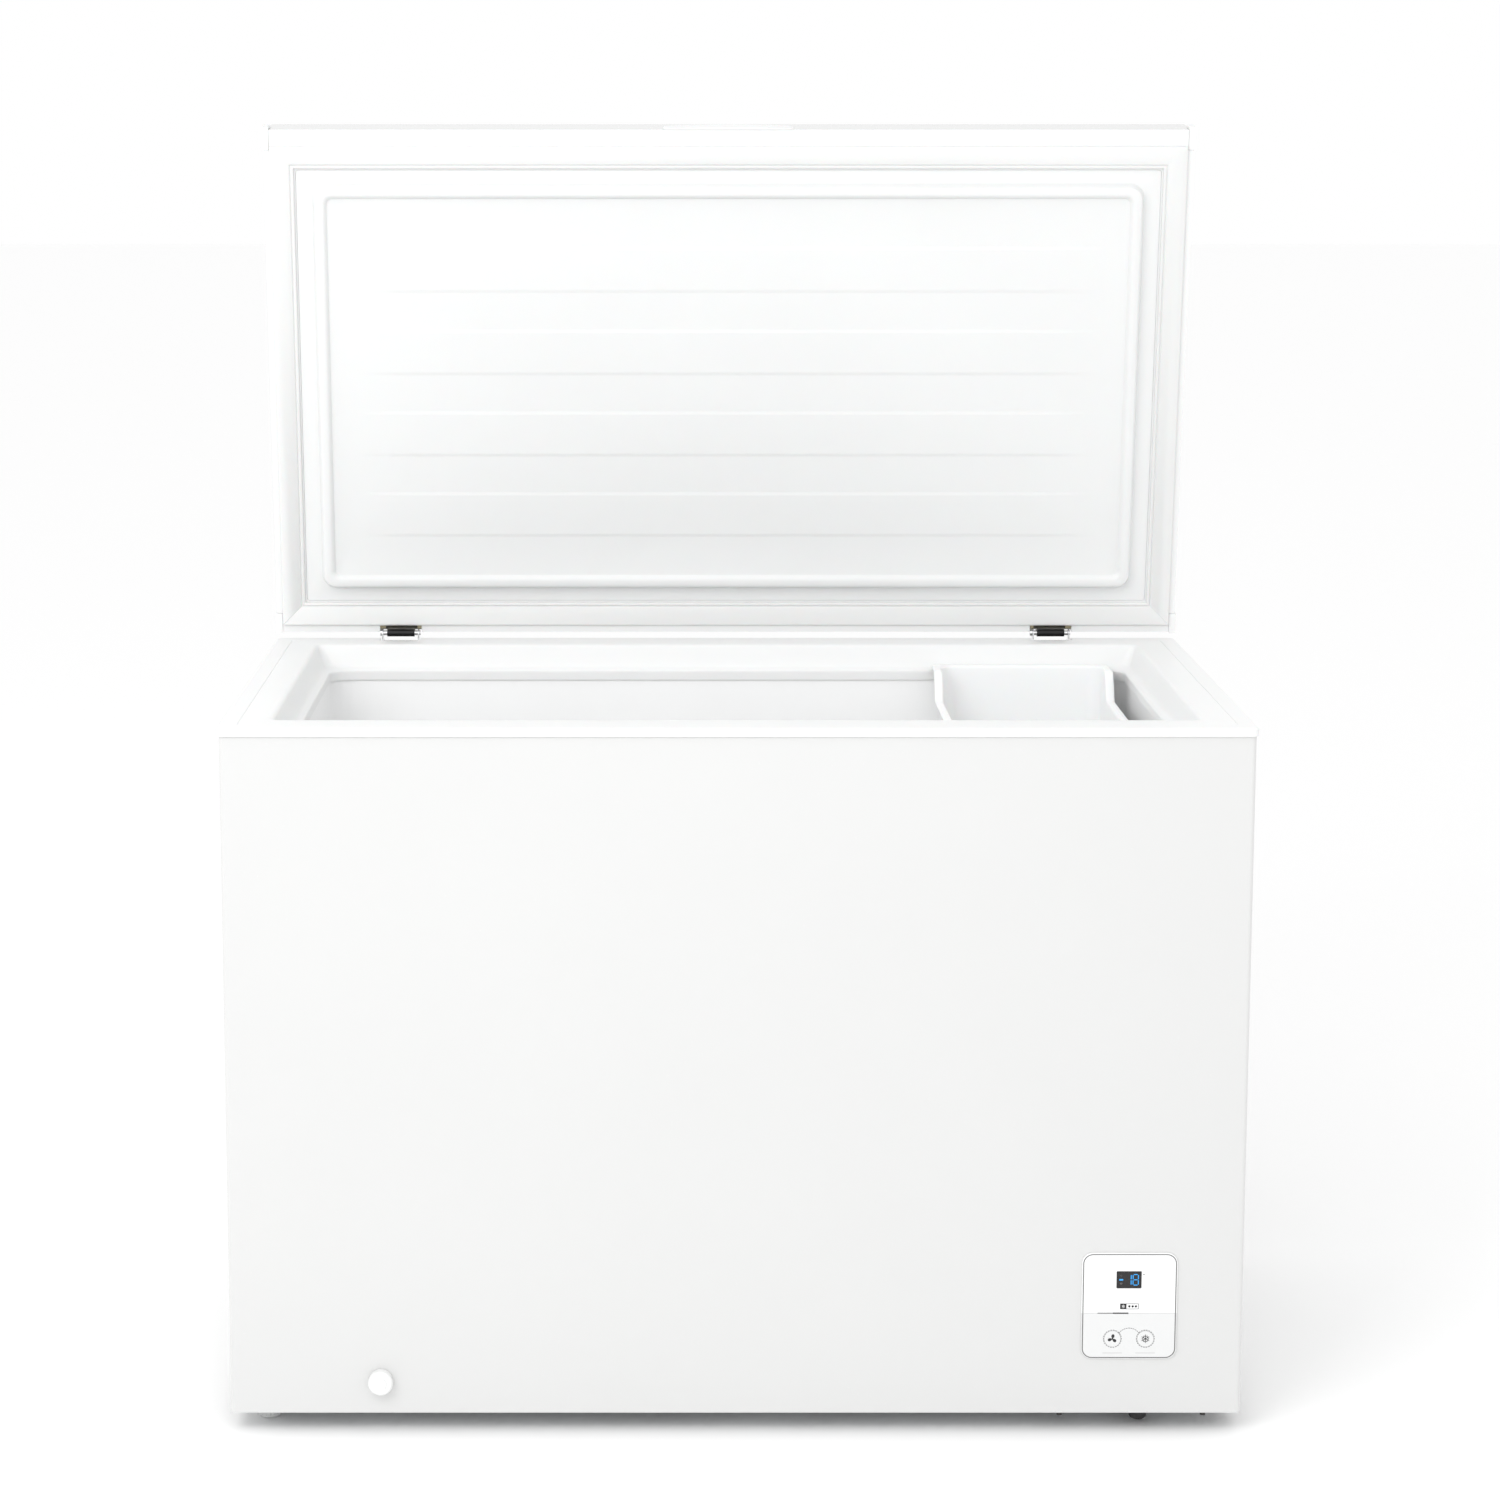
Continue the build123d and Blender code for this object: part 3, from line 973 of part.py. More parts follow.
# ------------------------------------------------------------------ basket
BASKET_WALL = 2.0
BASKET_TOP = RIM_TOP - LEDGE_DROP + 7.5
BASKET_DROP = 34.0
BASKET_DEEP = 205.0
BASKET_D = OPEN_D - 2 * LEDGE_IN - 4.0
HOOK_OUT = 10.0
BASKET_TAPER = 3.0
BASKET_CORNER = 22.0
RIM_T = 3.0
END_LONG = 38.0  # length of the high end walls along each side
DIP_R = 14.0
dip_d = BASKET_D - 2 * END_LONG
with BuildPart() as storage_basket:
    slab(level(BASKET_TOP), (BASKET_X, MID_Y), (BASKET_W - 12, BASKET_D), -BASKET_DEEP,
         radius=BASKET_CORNER, taper=BASKET_TAPER)
    fillet(storage_basket.faces().sort_by(Axis.Z)[0].edges(), radius=10)
    slab(level(BASKET_TOP - RIM_T), (BASKET_X, MID_Y), (BASKET_W, BASKET_D + 2 * HOOK_OUT), RIM_T,
         radius=10)
    slab(facing_right(BASKET_X - BASKET_W), (MID_Y, BASKET_TOP - BASKET_DROP + 50),
         (dip_d, 100), 2 * BASKET_W, radius=DIP_R, mode=Mode.SUBTRACT)
    slab(level(BASKET_TOP - BASKET_DROP - RIM_T), (BASKET_X, MID_Y), (BASKET_W, dip_d + 10), RIM_T)
    with BuildPart(mode=Mode.PRIVATE) as hollow:
        slab(level(BASKET_TOP), (BASKET_X, MID_Y),
             (BASKET_W - 12 - 2 * BASKET_WALL, BASKET_D - 2 * BASKET_WALL),
             BASKET_WALL - BASKET_DEEP, radius=BASKET_CORNER - BASKET_WALL, taper=BASKET_TAPER)
        fillet(hollow.faces().sort_by(Axis.Z)[0].edges(), radius=8)
    add(hollow.part, mode=Mode.SUBTRACT)
finish(storage_basket, "storage_basket")
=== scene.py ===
"""Looks of a chest freezer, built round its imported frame.

The cabinet, its lid, the hanging basket, the controls and the cooling plant keep the places
that the frame gives them. This script finishes every surface and remodels the pieces whose
soft edges and pressed shapes need mesh work.
"""

import json
import logging
import math
from dataclasses import dataclass
from enum import Enum
from typing import Callable

import bmesh
import bpy
from mathutils import Matrix, Vector

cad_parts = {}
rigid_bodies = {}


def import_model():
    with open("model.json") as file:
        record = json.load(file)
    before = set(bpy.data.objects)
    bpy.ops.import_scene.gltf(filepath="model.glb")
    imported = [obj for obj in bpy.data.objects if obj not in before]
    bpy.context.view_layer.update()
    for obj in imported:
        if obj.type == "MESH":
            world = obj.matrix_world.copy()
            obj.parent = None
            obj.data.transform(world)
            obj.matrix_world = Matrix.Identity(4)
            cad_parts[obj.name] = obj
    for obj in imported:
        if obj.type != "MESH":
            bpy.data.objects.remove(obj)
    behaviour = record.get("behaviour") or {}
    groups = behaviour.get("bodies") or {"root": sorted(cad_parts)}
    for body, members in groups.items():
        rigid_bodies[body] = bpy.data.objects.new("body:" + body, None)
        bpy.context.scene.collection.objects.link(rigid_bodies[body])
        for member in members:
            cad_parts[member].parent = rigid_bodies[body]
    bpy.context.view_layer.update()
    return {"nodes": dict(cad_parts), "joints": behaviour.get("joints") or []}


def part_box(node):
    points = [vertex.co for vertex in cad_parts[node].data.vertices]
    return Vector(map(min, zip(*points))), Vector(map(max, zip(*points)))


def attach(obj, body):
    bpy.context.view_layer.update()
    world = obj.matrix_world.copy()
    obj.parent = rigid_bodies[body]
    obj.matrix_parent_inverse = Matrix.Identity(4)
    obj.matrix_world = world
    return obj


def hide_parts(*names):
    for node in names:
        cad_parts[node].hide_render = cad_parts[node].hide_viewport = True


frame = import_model()
log = logging.getLogger("chest_freezer")

MM = 0.001
TOUCH = 0.1 * MM  # this near counts as lying on a surface
PANEL_RULE = 137.2  # height of the line between the panel's two tones, mm

COAT_ROUGHNESS = 0.12
SCATTER_DEPTH = 0.002
BRUSH_STRETCH = 24.0
MOTTLE_SCALE = 6.0
MOTTLE_DETAIL = 3.0
MOTTLE_SPAN = (0.3, 0.7)
POLISH_SWING = 0.12

Colour = tuple[float, float, float]
Point = tuple[float, float, float]
Span = tuple[float, float]
Edges = tuple[float, float, float]


# ------------------------------------------------------------------ finishes
class Grain(Enum):
    """The surface detail that a finish carries."""

    PEEL = "soft orange peel of baked enamel"
    MOULD = "fine spark-eroded mould grain"
    SMOOTH = "polished mould with faint flow"
    BRUSHED = "drawn or rolled lines"
    SPANGLE = "zinc spangle"
    FOAM = "open cut foam"


def wire(node: bpy.types.Node, inputs: dict[str | int, object]) -> None:
    """Feed a node's inputs with constants and with other nodes' outputs.

    Args:
        node: The node.
        inputs: For each input, its constant or the output socket that feeds it.
    """
    for key, value in inputs.items():
        if isinstance(value, bpy.types.NodeSocket):
            node.id_data.links.new(value, node.inputs[key])
        else:
            node.inputs[key].default_value = value


def add_node(tree: bpy.types.NodeTree, kind: str,
             inputs: dict[str | int, object]) -> bpy.types.Node:
    """Add one node and feed its inputs.

    Args:
        tree: The material's node tree.
        kind: Type of node.
        inputs: For each input, its constant or the output socket that feeds it.

    Returns:
        The node.
    """
    made = tree.nodes.new(kind)
    wire(made, inputs)
    return made


@dataclass(frozen=True)
class Finish:
    """One surface finish and the numbers that make it.

    Attributes:
        name: Name of the material.
        slot: Record slot that the finish belongs to.
        colour: Base colour, linear.
        roughness: Mean roughness.
        metallic: 0 for plastics and paint, 1 for bare metal.
        grain: Kind of surface detail.
        scale: Size of the detail, in cells per metre.
        bump: Height of the detail, in metres.
        mottle: How far the colour wanders, as a share.
        coat: Weight of a clear coat.
        subsurface: Weight of light scattered under the surface.
        glow: Strength of its own light.
    """

    name: str
    slot: str
    colour: Colour
    roughness: float
    metallic: float = 0.0
    grain: Grain = Grain.MOULD
    scale: float = 900.0
    bump: float = 0.00003
    mottle: float = 0.015
    coat: float = 0.0
    subsurface: float = 0.0
    glow: float = 0.0

    def stretch(self) -> Point:
        """Return how the pattern is stretched along each axis."""
        if self.grain is Grain.BRUSHED:
            return (1.0, BRUSH_STRETCH, BRUSH_STRETCH)
        return (1.0, 1.0, 1.0)

    def material(self) -> bpy.types.Material:
        """Build the material, or return it if it is already there.

        Returns:
            The material, with colour, roughness and bump from procedural nodes.
        """
        found = bpy.data.materials.get(self.name)
        if found is not None:
            return found
        made = bpy.data.materials.new(self.name)
        made.use_nodes = True
        tree = made.node_tree
        place = tree.nodes.new("ShaderNodeTexCoord").outputs["Object"]
        turned = add_node(tree, "ShaderNodeMapping", {
            "Scale": self.stretch(), "Vector": place}).outputs["Vector"]
        fine = self.pattern(tree, turned)
        broad = add_node(tree, "ShaderNodeTexNoise", {
            "Scale": MOTTLE_SCALE, "Detail": MOTTLE_DETAIL, "Vector": turned})
        shade = add_node(tree, "ShaderNodeValToRGB", {"Fac": broad.outputs["Fac"]})
        low, high = shade.color_ramp.elements
        low.position, high.position = MOTTLE_SPAN
        low.color = tuple(c * (1.0 - self.mottle) for c in self.colour) + (1.0,)
        high.color = tuple(min(1.0, c * (1.0 + self.mottle)) for c in self.colour) + (1.0,)
        polish = add_node(tree, "ShaderNodeMapRange", {
            "To Min": self.roughness * (1.0 - POLISH_SWING),
            "To Max": min(1.0, self.roughness * (1.0 + POLISH_SWING)), "Value": fine})
        relief = add_node(tree, "ShaderNodeBump", {
            "Strength": 1.0, "Distance": self.bump, "Height": fine})
        wire(tree.nodes["Principled BSDF"], {
            "Base Color": self.tinted(tree, place, shade.outputs["Color"]),
            "Roughness": polish.outputs["Result"], "Normal": relief.outputs["Normal"],
            "Metallic": self.metallic, "Coat Weight": self.coat,
            "Coat Roughness": COAT_ROUGHNESS, "Subsurface Weight": self.subsurface,
            "Subsurface Scale": SCATTER_DEPTH, "Emission Color": (*self.colour, 1.0),
            "Emission Strength": self.glow})
        return made

    def tinted(self, tree: bpy.types.NodeTree, place: bpy.types.NodeSocket,
               colour: bpy.types.NodeSocket) -> bpy.types.NodeSocket:
        """Return the colour as it is; a finish of two tones changes it here.

        Args:
            tree: The material's node tree; not used here.
            place: Socket that gives the place on the object; not used here.
            colour: Socket that gives the plain colour.

        Returns:
            The socket that gives the final colour.
        """
        return colour

    def pattern(self, tree: bpy.types.NodeTree,
                turned: bpy.types.NodeSocket) -> bpy.types.NodeSocket:
        """Add the pattern that carries the detail.

        Args:
            tree: The material's node tree.
            turned: Socket that gives the stretched place on the object.

        Returns:
            The socket that gives the pattern's height.
        """
        if self.grain in (Grain.SPANGLE, Grain.FOAM):
            return add_node(tree, "ShaderNodeTexVoronoi", {
                "Scale": self.scale, "Vector": turned}).outputs["Distance"]
        return add_node(tree, "ShaderNodeTexNoise", {
            "Scale": self.scale, "Detail": 2.0 if self.grain is Grain.PEEL else 4.0,
            "Vector": turned}).outputs["Fac"]


@dataclass(frozen=True)
class TwoToneFinish(Finish):
    """A printed film that is darker under one level.

    Attributes:
        level: Height of the change of tone, in metres.
        under: Share of the colour that is left under it.
    """

    level: float = 0.0
    under: float = 0.84

    def tinted(self, tree: bpy.types.NodeTree, place: bpy.types.NodeSocket,
               colour: bpy.types.NodeSocket) -> bpy.types.NodeSocket:
        """Darken the colour under the level.

        Args:
            tree: The material's node tree.
            place: Socket that gives the place on the object.
            colour: Socket that gives the plain colour.

        Returns:
            The socket that gives the final colour.
        """
        split = add_node(tree, "ShaderNodeSeparateXYZ", {"Vector": place})
        below = tree.nodes.new("ShaderNodeMath")
        below.operation = "LESS_THAN"
        wire(below, {0: split.outputs["Z"], 1: self.level})
        mix = tree.nodes.new("ShaderNodeMix")
        mix.data_type = "RGBA"
        mix.blend_type = "MULTIPLY"
        wire(mix, {"Factor": below.outputs["Value"], "A": colour,
                   "B": (self.under, self.under, self.under, 1.0)})
        return mix.outputs["Result"]


def print_finish(name: str, slot: str, colour: Colour, roughness: float = 0.45,
                 mottle: float = 0.06, glow: float = 0.0) -> Finish:
    """Return a finish of thin print, which has hardly any relief.

    Args:
        name: Name of the material.
        slot: Record slot that the print belongs to.
        colour: Base colour, linear.
        roughness: Mean roughness.
        mottle: How far the colour wanders, as a share.
        glow: Strength of its own light.

    Returns:
        The finish.
    """
    return Finish(name, slot, colour, roughness, scale=2500.0, bump=0.000003, mottle=mottle,
                  glow=glow)


ENAMEL = Finish("white_enamel", "painted_steel", (0.685, 0.687, 0.683), 0.26, grain=Grain.PEEL,
                scale=420.0, bump=0.000012, mottle=0.004, coat=0.25)
ZINC_SHEET = Finish("zinc_sheet", "galvanised_steel", (0.56, 0.58, 0.59), 0.42, 0.9,
                    Grain.SPANGLE, 90.0, 0.00001, 0.10)
TANK_SKIN = Finish("tank_skin", "tank_sheet", (0.95, 0.953, 0.953), 0.34, grain=Grain.PEEL,
                   scale=300.0, bump=0.00002, mottle=0.012, coat=0.1)
WHITE_MOULDING = Finish("white_moulding", "white_plastic", (0.81, 0.815, 0.813), 0.34,
                        grain=Grain.SMOOTH, scale=700.0, bump=0.00001, mottle=0.006,
                        subsurface=0.05)
FORMED_SHEET = Finish("formed_sheet", "white_plastic", (0.79, 0.795, 0.793), 0.30,
                      grain=Grain.SMOOTH, scale=500.0, bump=0.000012, mottle=0.008,
                      subsurface=0.05)
TUB_PLASTIC = Finish("tub_plastic", "white_plastic", (0.87, 0.876, 0.878), 0.36,
                     scale=1300.0, bump=0.000012, mottle=0.01, subsurface=0.12)
SEAL = Finish("soft_seal", "gasket_white", (0.77, 0.775, 0.77), 0.5, scale=1100.0,
              bump=0.00002, mottle=0.012, subsurface=0.1)
FOAM = Finish("cut_foam", "foam", (0.82, 0.74, 0.52), 0.85, grain=Grain.FOAM, scale=700.0,
              bump=0.0003, mottle=0.05)
DRAWN_TUBE = Finish("drawn_tube", "aluminium_tube", (0.78, 0.79, 0.8), 0.32, 1.0,
                    Grain.BRUSHED, 300.0, 0.00001, 0.04)
COPPER = Finish("copper_tube", "copper", (0.72, 0.34, 0.2), 0.3, 1.0, Grain.BRUSHED, 260.0,
                0.00001, 0.12)
GREY_MOULDING = Finish("grey_moulding", "grey_plastic", (0.72, 0.725, 0.72), 0.42,
                       scale=1200.0, bump=0.00002, mottle=0.012)
CAP_PLASTIC = Finish("cap_plastic", "grey_plastic", (0.82, 0.825, 0.82), 0.36, scale=1400.0,
                     bump=0.00001, mottle=0.008)
FASCIA_FILM = TwoToneFinish("fascia_film", "fascia_plastic", (0.90, 0.905, 0.905), 0.22,
                            grain=Grain.SMOOTH, scale=600.0, bump=0.000005, mottle=0.003,
                            coat=0.3, level=PANEL_RULE * MM)
INK = print_finish("black_ink", "display_black", (0.02, 0.02, 0.022), mottle=0.1)
# Grey print for the dashes, the rule's grey part and the degree dot; the same grey is painted
# shadow in the gap round the control panel's edge.
GREY_INK_AND_EDGE_SHADOW = print_finish("grey_ink_and_edge_shadow", "grey_plastic", (0.14, 0.14, 0.14))
PALE_INK = print_finish("pale_ink", "grey_plastic", (0.58, 0.58, 0.58), mottle=0.04)
WHITE_INK = print_finish("white_ink", "fascia_plastic", (0.85, 0.85, 0.85), 0.4, mottle=0.02)
DIM_SEGMENT = print_finish("dim_segment", "display_black", (0.09, 0.085, 0.085), 0.3)
LIT_SEGMENT = print_finish("lit_segment", "display_black", (0.02, 0.26, 0.62), 0.3,
                           mottle=0.04, glow=0.75)
KNUCKLE_BLACK = Finish("knuckle_black", "hinge_steel", (0.02, 0.02, 0.021), 0.35, 0.6,
                       Grain.BRUSHED, 500.0, 0.00001, 0.1)
BLACK_LENS = Finish("smoked_lens", "display_black", (0.012, 0.011, 0.012), 0.16,
                    grain=Grain.SMOOTH, scale=500.0, bump=0.000002, mottle=0.05)
BLACK_MOULDING = Finish("black_moulding", "black_plastic", (0.028, 0.028, 0.03), 0.5,
                        scale=1500.0, bump=0.00003, mottle=0.06)
SOLDER_MASK = Finish("solder_mask", "board_green", (0.02, 0.13, 0.055), 0.35, scale=1500.0,
                     bump=0.00001, mottle=0.08)
ZINC_PLATE = Finish("zinc_plate", "zinc_fastener", (0.62, 0.6, 0.55), 0.3, 1.0, Grain.BRUSHED,
                    900.0, 0.000008, 0.08)
DARK_BOLT = Finish("dark_bolt", "zinc_fastener", (0.09, 0.085, 0.08), 0.42, 0.85,
                   Grain.BRUSHED, 900.0, 0.00001, 0.15)
RUBBER = Finish("black_rubber", "black_rubber", (0.018, 0.018, 0.018), 0.62, scale=1300.0,
                bump=0.00003, mottle=0.1)
PUMP_PAINT = Finish("pump_paint", "compressor_black", (0.015, 0.015, 0.016), 0.32,
                    grain=Grain.PEEL, scale=260.0, bump=0.00003, mottle=0.08, coat=0.3)
BRIGHT_PLATE = Finish("bright_plate", "hinge_steel", (0.74, 0.74, 0.75), 0.2, 1.0,
                      Grain.BRUSHED, 500.0, 0.000006, 0.04)

FINISH_NODES: dict[Finish, tuple[str, ...]] = {
    ENAMEL: ("wrapper_panel", "lid_shell", "rear_panel"),
    ZINC_SHEET: ("base_panel", "machine_room_step", "compressor_tray"),
    FOAM: ("cabinet_foam", "lid_foam"),
    TANK_SKIN: ("tank_liner",),
    WHITE_MOULDING: ("throat_frame", "top_trim", "lid_frame", "lid_corner_caps",
                     "lid_handle", "side_grille"),
    FORMED_SHEET: ("lid_liner",),
    TUB_PLASTIC: ("storage_basket",),
    SEAL: ("lid_gasket",),
    DRAWN_TUBE: ("evaporator_coil", "condenser_coil"),
    COPPER: ("suction_pipe", "discharge_pipe", "filter_drier"),
    GREY_MOULDING: ("drain_tube", "tank_drain_plug", "foot_sockets", "foot_front_left",
                    "foot_front_right", "foot_rear_left", "foot_rear_right"),
    CAP_PLASTIC: ("drain_bezel", "drain_cap"),
    FASCIA_FILM: ("control_fascia", "fridge_key", "freezer_key"),
    BLACK_LENS: ("display_window",),
    BLACK_MOULDING: ("control_box", "relay_cover", "rear_grille", "cable_gland"),
    SOLDER_MASK: ("control_board",),
    DARK_BOLT: ("tray_bolts",),
    ZINC_PLATE: ("compressor_bolts", "rear_grille_screws", "hinge_housing_screws",
                 "handle_screws", "hinge_arm_screws"),
    RUBBER: ("tray_buffer", "compressor_grommets"),
    PUMP_PAINT: ("compressor_shell", "compressor_bracket"),
    BRIGHT_PLATE: ("hinge_housing_left", "hinge_housing_right", "hinge_pin_left",
                   "hinge_pin_right", "hinge_spring_left", "hinge_spring_right"),
    KNUCKLE_BLACK: ("hinge_arm_left", "hinge_arm_right"),
}
NODE_FINISH = {name: finish for finish, names in FINISH_NODES.items() for name in names}


def finish_frame() -> None:
    """Give every carried-over node of the frame its finish."""
    for name, node in frame["nodes"].items():
        node.data.materials.clear()
        node.data.materials.append(NODE_FINISH[name].material())
    log.info("finished %d frame nodes", len(frame["nodes"]))


# ------------------------------------------------------------------ studio and camera
@dataclass(frozen=True)
class Lamp:
    """One soft area light.

    Attributes:
        name: Name of the light.
        place: Where it hangs.
        aim: The point it faces.
        size: Its width and height.
        power: Its power in watts.
    """

    name: str
    place: Point
    aim: Point
    size: Span
    power: float

    def hang(self) -> None:
        """Add the light to the room."""
        bpy.ops.object.light_add(type="AREA", location=self.place)
        lamp = bpy.context.object
        lamp.name = self.name
        lamp.data.shape = "RECTANGLE"
        lamp.data.size, lamp.data.size_y = self.size
        lamp.data.energy = self.power
        way = Vector(self.aim) - Vector(self.place)
        lamp.rotation_euler = way.to_track_quat("-Z", "Y").to_euler()


LAMPS = (
    Lamp("key_light", (-1.8, -2.6, 2.6), (0, 0, 0.8), (2.0, 2.0), 37.0),
    Lamp("fill_light", (3.2, -3.2, 2.2), (0, 0, 0.7), (3.0, 3.0), 2.0),
    Lamp("top_light", (0.1, -0.9, 2.7), (0, 0.1, 0.85), (1.8, 0.9), 2.2),
    Lamp("low_light", (0.0, -1.5, 1.4), (0, 0.3, 0.9), (1.8, 0.5), 2.7),
)


@dataclass
class Studio:
    """Pale floor, soft lights and the camera."""

    floor_size: float = 60.0
    floor_drop: float = 0.0005  # under the feet
    floor_shade: float = 0.98
    sky: float = 1.0
    stand_off: Point = (-0.0921, -3.6699, 0.6748)  # from the middle of the rim's front edge
    pitch: float = 8.302  # downwards, degrees
    lens: float = 83.5
    shift: Span = (0.0653, -0.1)  # sideways and up, share of the sensor
    far: float = 100.0

    def build(self) -> None:
        """Build the floor, the lights and the camera."""
        self.floor()
        self.lights()
        self.camera()
        bpy.context.scene.view_settings.view_transform = "Standard"

    def floor(self) -> None:
        """Lay the pale floor."""
        deselect()
        bpy.ops.mesh.primitive_plane_add(size=self.floor_size, location=(0, 0, -self.floor_drop))
        floor = bpy.context.object
        floor.name = "studio_floor"
        paint = bpy.data.materials.new("studio_paint")
        paint.use_nodes = True
        shade = (self.floor_shade, self.floor_shade, self.floor_shade, 1.0)
        wire(paint.node_tree.nodes["Principled BSDF"], {"Base Color": shade, "Roughness": 0.9})
        floor.data.materials.append(paint)

    def lights(self) -> None:
        """Light the room evenly, a little more from the upper left front."""
        world = bpy.data.worlds.new("studio_air")
        bpy.context.scene.world = world
        world.use_nodes = True
        wire(world.node_tree.nodes["Background"],
             {"Color": (1.0, 1.0, 1.0, 1.0), "Strength": self.sky})
        for lamp in LAMPS:
            lamp.hang()

    def camera(self) -> None:
        """Stand the camera a little left of the middle, looking down slightly."""
        low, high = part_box("top_trim")
        across, back, up = self.stand_off
        bpy.ops.object.camera_add(location=Vector((across, low.y + back, high.z + up)))
        camera = bpy.context.object
        camera.rotation_euler = (math.radians(90.0 - self.pitch), 0.0, 0.0)
        camera.data.sensor_width = 36.0
        camera.data.lens = self.lens
        camera.data.shift_x, camera.data.shift_y = self.shift
        camera.data.clip_end = self.far
        camera.data.dof.use_dof = False
        bpy.context.scene.camera = camera


# ------------------------------------------------------------------ modelling helpers
def deselect() -> None:
    """Leave object mode's selection empty."""
    if bpy.context.object is not None and bpy.context.object.mode != "OBJECT":
        bpy.ops.object.mode_set(mode="OBJECT")
    bpy.ops.object.select_all(action="DESELECT")


@dataclass(frozen=True)
class Ring:
    """One level, round-cornered rectangular section of a moulded form, in metres.

    Attributes:
        width: Size along x.
        depth: Size along y.
        corner: Corner radius.
        height: Height of the section.
        middle: Its centre in x and y.
    """

    width: float
    depth: float
    corner: float
    height: float
    middle: Span = (0.0, 0.0)


def grasp(piece: bpy.types.Object) -> None:
    """Make a piece the only one selected, and the active one.

    Args:
        piece: The piece.
    """
    deselect()
    piece.select_set(True)
    bpy.context.view_layer.objects.active = piece


def start_piece(name: str) -> bpy.types.Object:
    """Add an empty mesh object at the origin and enter edit mode on it.

    Args:
        name: Name of the piece.

    Returns:
        The object, in edit mode with nothing in its mesh.
    """
    deselect()
    bpy.ops.mesh.primitive_plane_add(size=1.0, location=(0, 0, 0))
    piece = bpy.context.object
    piece.name = name
    piece.data.name = name
    bpy.ops.object.mode_set(mode="EDIT")
    bpy.ops.mesh.select_mode(type="VERT")
    bpy.ops.mesh.select_all(action="SELECT")
    bpy.ops.mesh.delete(type="VERT")
    return piece


def pick(piece: bpy.types.Object, test: Callable[[Vector], bool]) -> None:
    """Select the vertices of the piece in edit mode that pass a test of their place.

    Args:
        piece: The piece in edit mode.
        test: Says whether a place is wanted.
    """
    bpy.ops.mesh.select_all(action="DESELECT")
    shape = bmesh.from_edit_mesh(piece.data)
    for vertex in shape.verts:
        vertex.select = test(vertex.co)
    shape.select_flush_mode()
    bmesh.update_edit_mesh(piece.data)


def pick_faces(piece: bpy.types.Object, test: Callable[[Vector], bool]) -> None:
    """Select the faces of the piece in edit mode that pass a test of their middle.

    Args:
        piece: The piece in edit mode.
        test: Says whether a face with that middle is wanted.
    """
    bpy.ops.mesh.select_mode(type="FACE")
    bpy.ops.mesh.select_all(action="DESELECT")
    shape = bmesh.from_edit_mesh(piece.data)
    for face in shape.faces:
        face.select_set(test(face.calc_center_median()))
    bmesh.update_edit_mesh(piece.data)


def add_ring(ring: Ring, segments: int) -> None:
    """Add one section to the mesh in edit mode and give it its own vertex group.

    Args:
        ring: The section.
        segments: Edges round each corner.
    """
    centre = (*ring.middle, ring.height)
    bpy.ops.mesh.select_all(action="DESELECT")
    bpy.ops.mesh.primitive_plane_add(size=1.0, location=centre)
    bpy.ops.transform.resize(value=(ring.width, ring.depth, 1.0), center_override=centre)
    bpy.ops.mesh.bevel(offset=ring.corner, segments=segments, affect="VERTICES")
    bpy.ops.mesh.select_linked()
    bpy.ops.object.vertex_group_assign_new()
    bpy.ops.mesh.delete(type="ONLY_FACE")


def pick_rings(piece: bpy.types.Object, *indices: int) -> None:
    """Select whole sections by their vertex groups.

    Args:
        piece: The piece in edit mode.
        indices: Which sections.
    """
    bpy.ops.mesh.select_mode(type="VERT")
    bpy.ops.mesh.select_all(action="DESELECT")
    for index in indices:
        piece.vertex_groups.active_index = index
        bpy.ops.object.vertex_group_select()


def loft(name: str, rings: list[Ring], segments: int = 6, closed: bool = False,
         filled: bool = False) -> bpy.types.Object:
    """Join round-cornered sections into one skin.

    Args:
        name: Name of the piece.
        rings: The sections in order.
        segments: Edges round each corner.
        closed: The last section is joined to the first.
        filled: The last section is closed with a face.

    Returns:
        The piece, left in edit mode.
    """
    piece = start_piece(name)
    for ring in rings:
        add_ring(ring, segments)
    pairs = [(i, i + 1) for i in range(len(rings) - 1)]
    if closed:
        pairs.append((len(rings) - 1, 0))
    for pair in pairs:
        pick_rings(piece, *pair)
        bpy.ops.mesh.bridge_edge_loops()
    if filled:
        pick_rings(piece, len(rings) - 1)
        bpy.ops.mesh.edge_face_add()
    bpy.ops.mesh.select_all(action="SELECT")
    bpy.ops.mesh.normals_make_consistent(inside=False)
    return piece


def face_skin(piece: bpy.types.Object, test: Callable[[Vector], bool], way: Point) -> None:
    """Turn an open skin so that the faces that pass a test face one way.

    Args:
        piece: The piece in edit mode.
        test: Says whether a face with that middle counts.
        way: Direction that those faces have to face.
    """
    shape = bmesh.from_edit_mesh(piece.data)
    shape.normal_update()
    lean = sum(face.normal.dot(Vector(way)) for face in shape.faces
               if test(face.calc_center_median()))
    if lean < 0:
        bpy.ops.mesh.select_all(action="SELECT")
        bpy.ops.mesh.flip_normals()


def cut(piece: bpy.types.Object, place: Point, normal: Point) -> None:
    """Cut the selected faces of the piece along a plane and keep both sides.

    Args:
        piece: Not used; the cut acts on the mesh in edit mode.
        place: A point on the plane.
        normal: The plane's normal.
    """
    bpy.ops.mesh.bisect(plane_co=place, plane_no=normal)


def apply_modifier(piece: bpy.types.Object, kind: str, **settings: object) -> None:
    """Add one modifier to a piece in object mode and apply it.

    Args:
        piece: The piece.
        kind: Type of modifier.
        settings: Its settings by name.
    """
    modifier = piece.modifiers.new(kind.lower(), kind)
    for key, value in settings.items():
        setattr(modifier, key, value)
    grasp(piece)
    bpy.ops.object.modifier_apply(modifier=modifier.name)


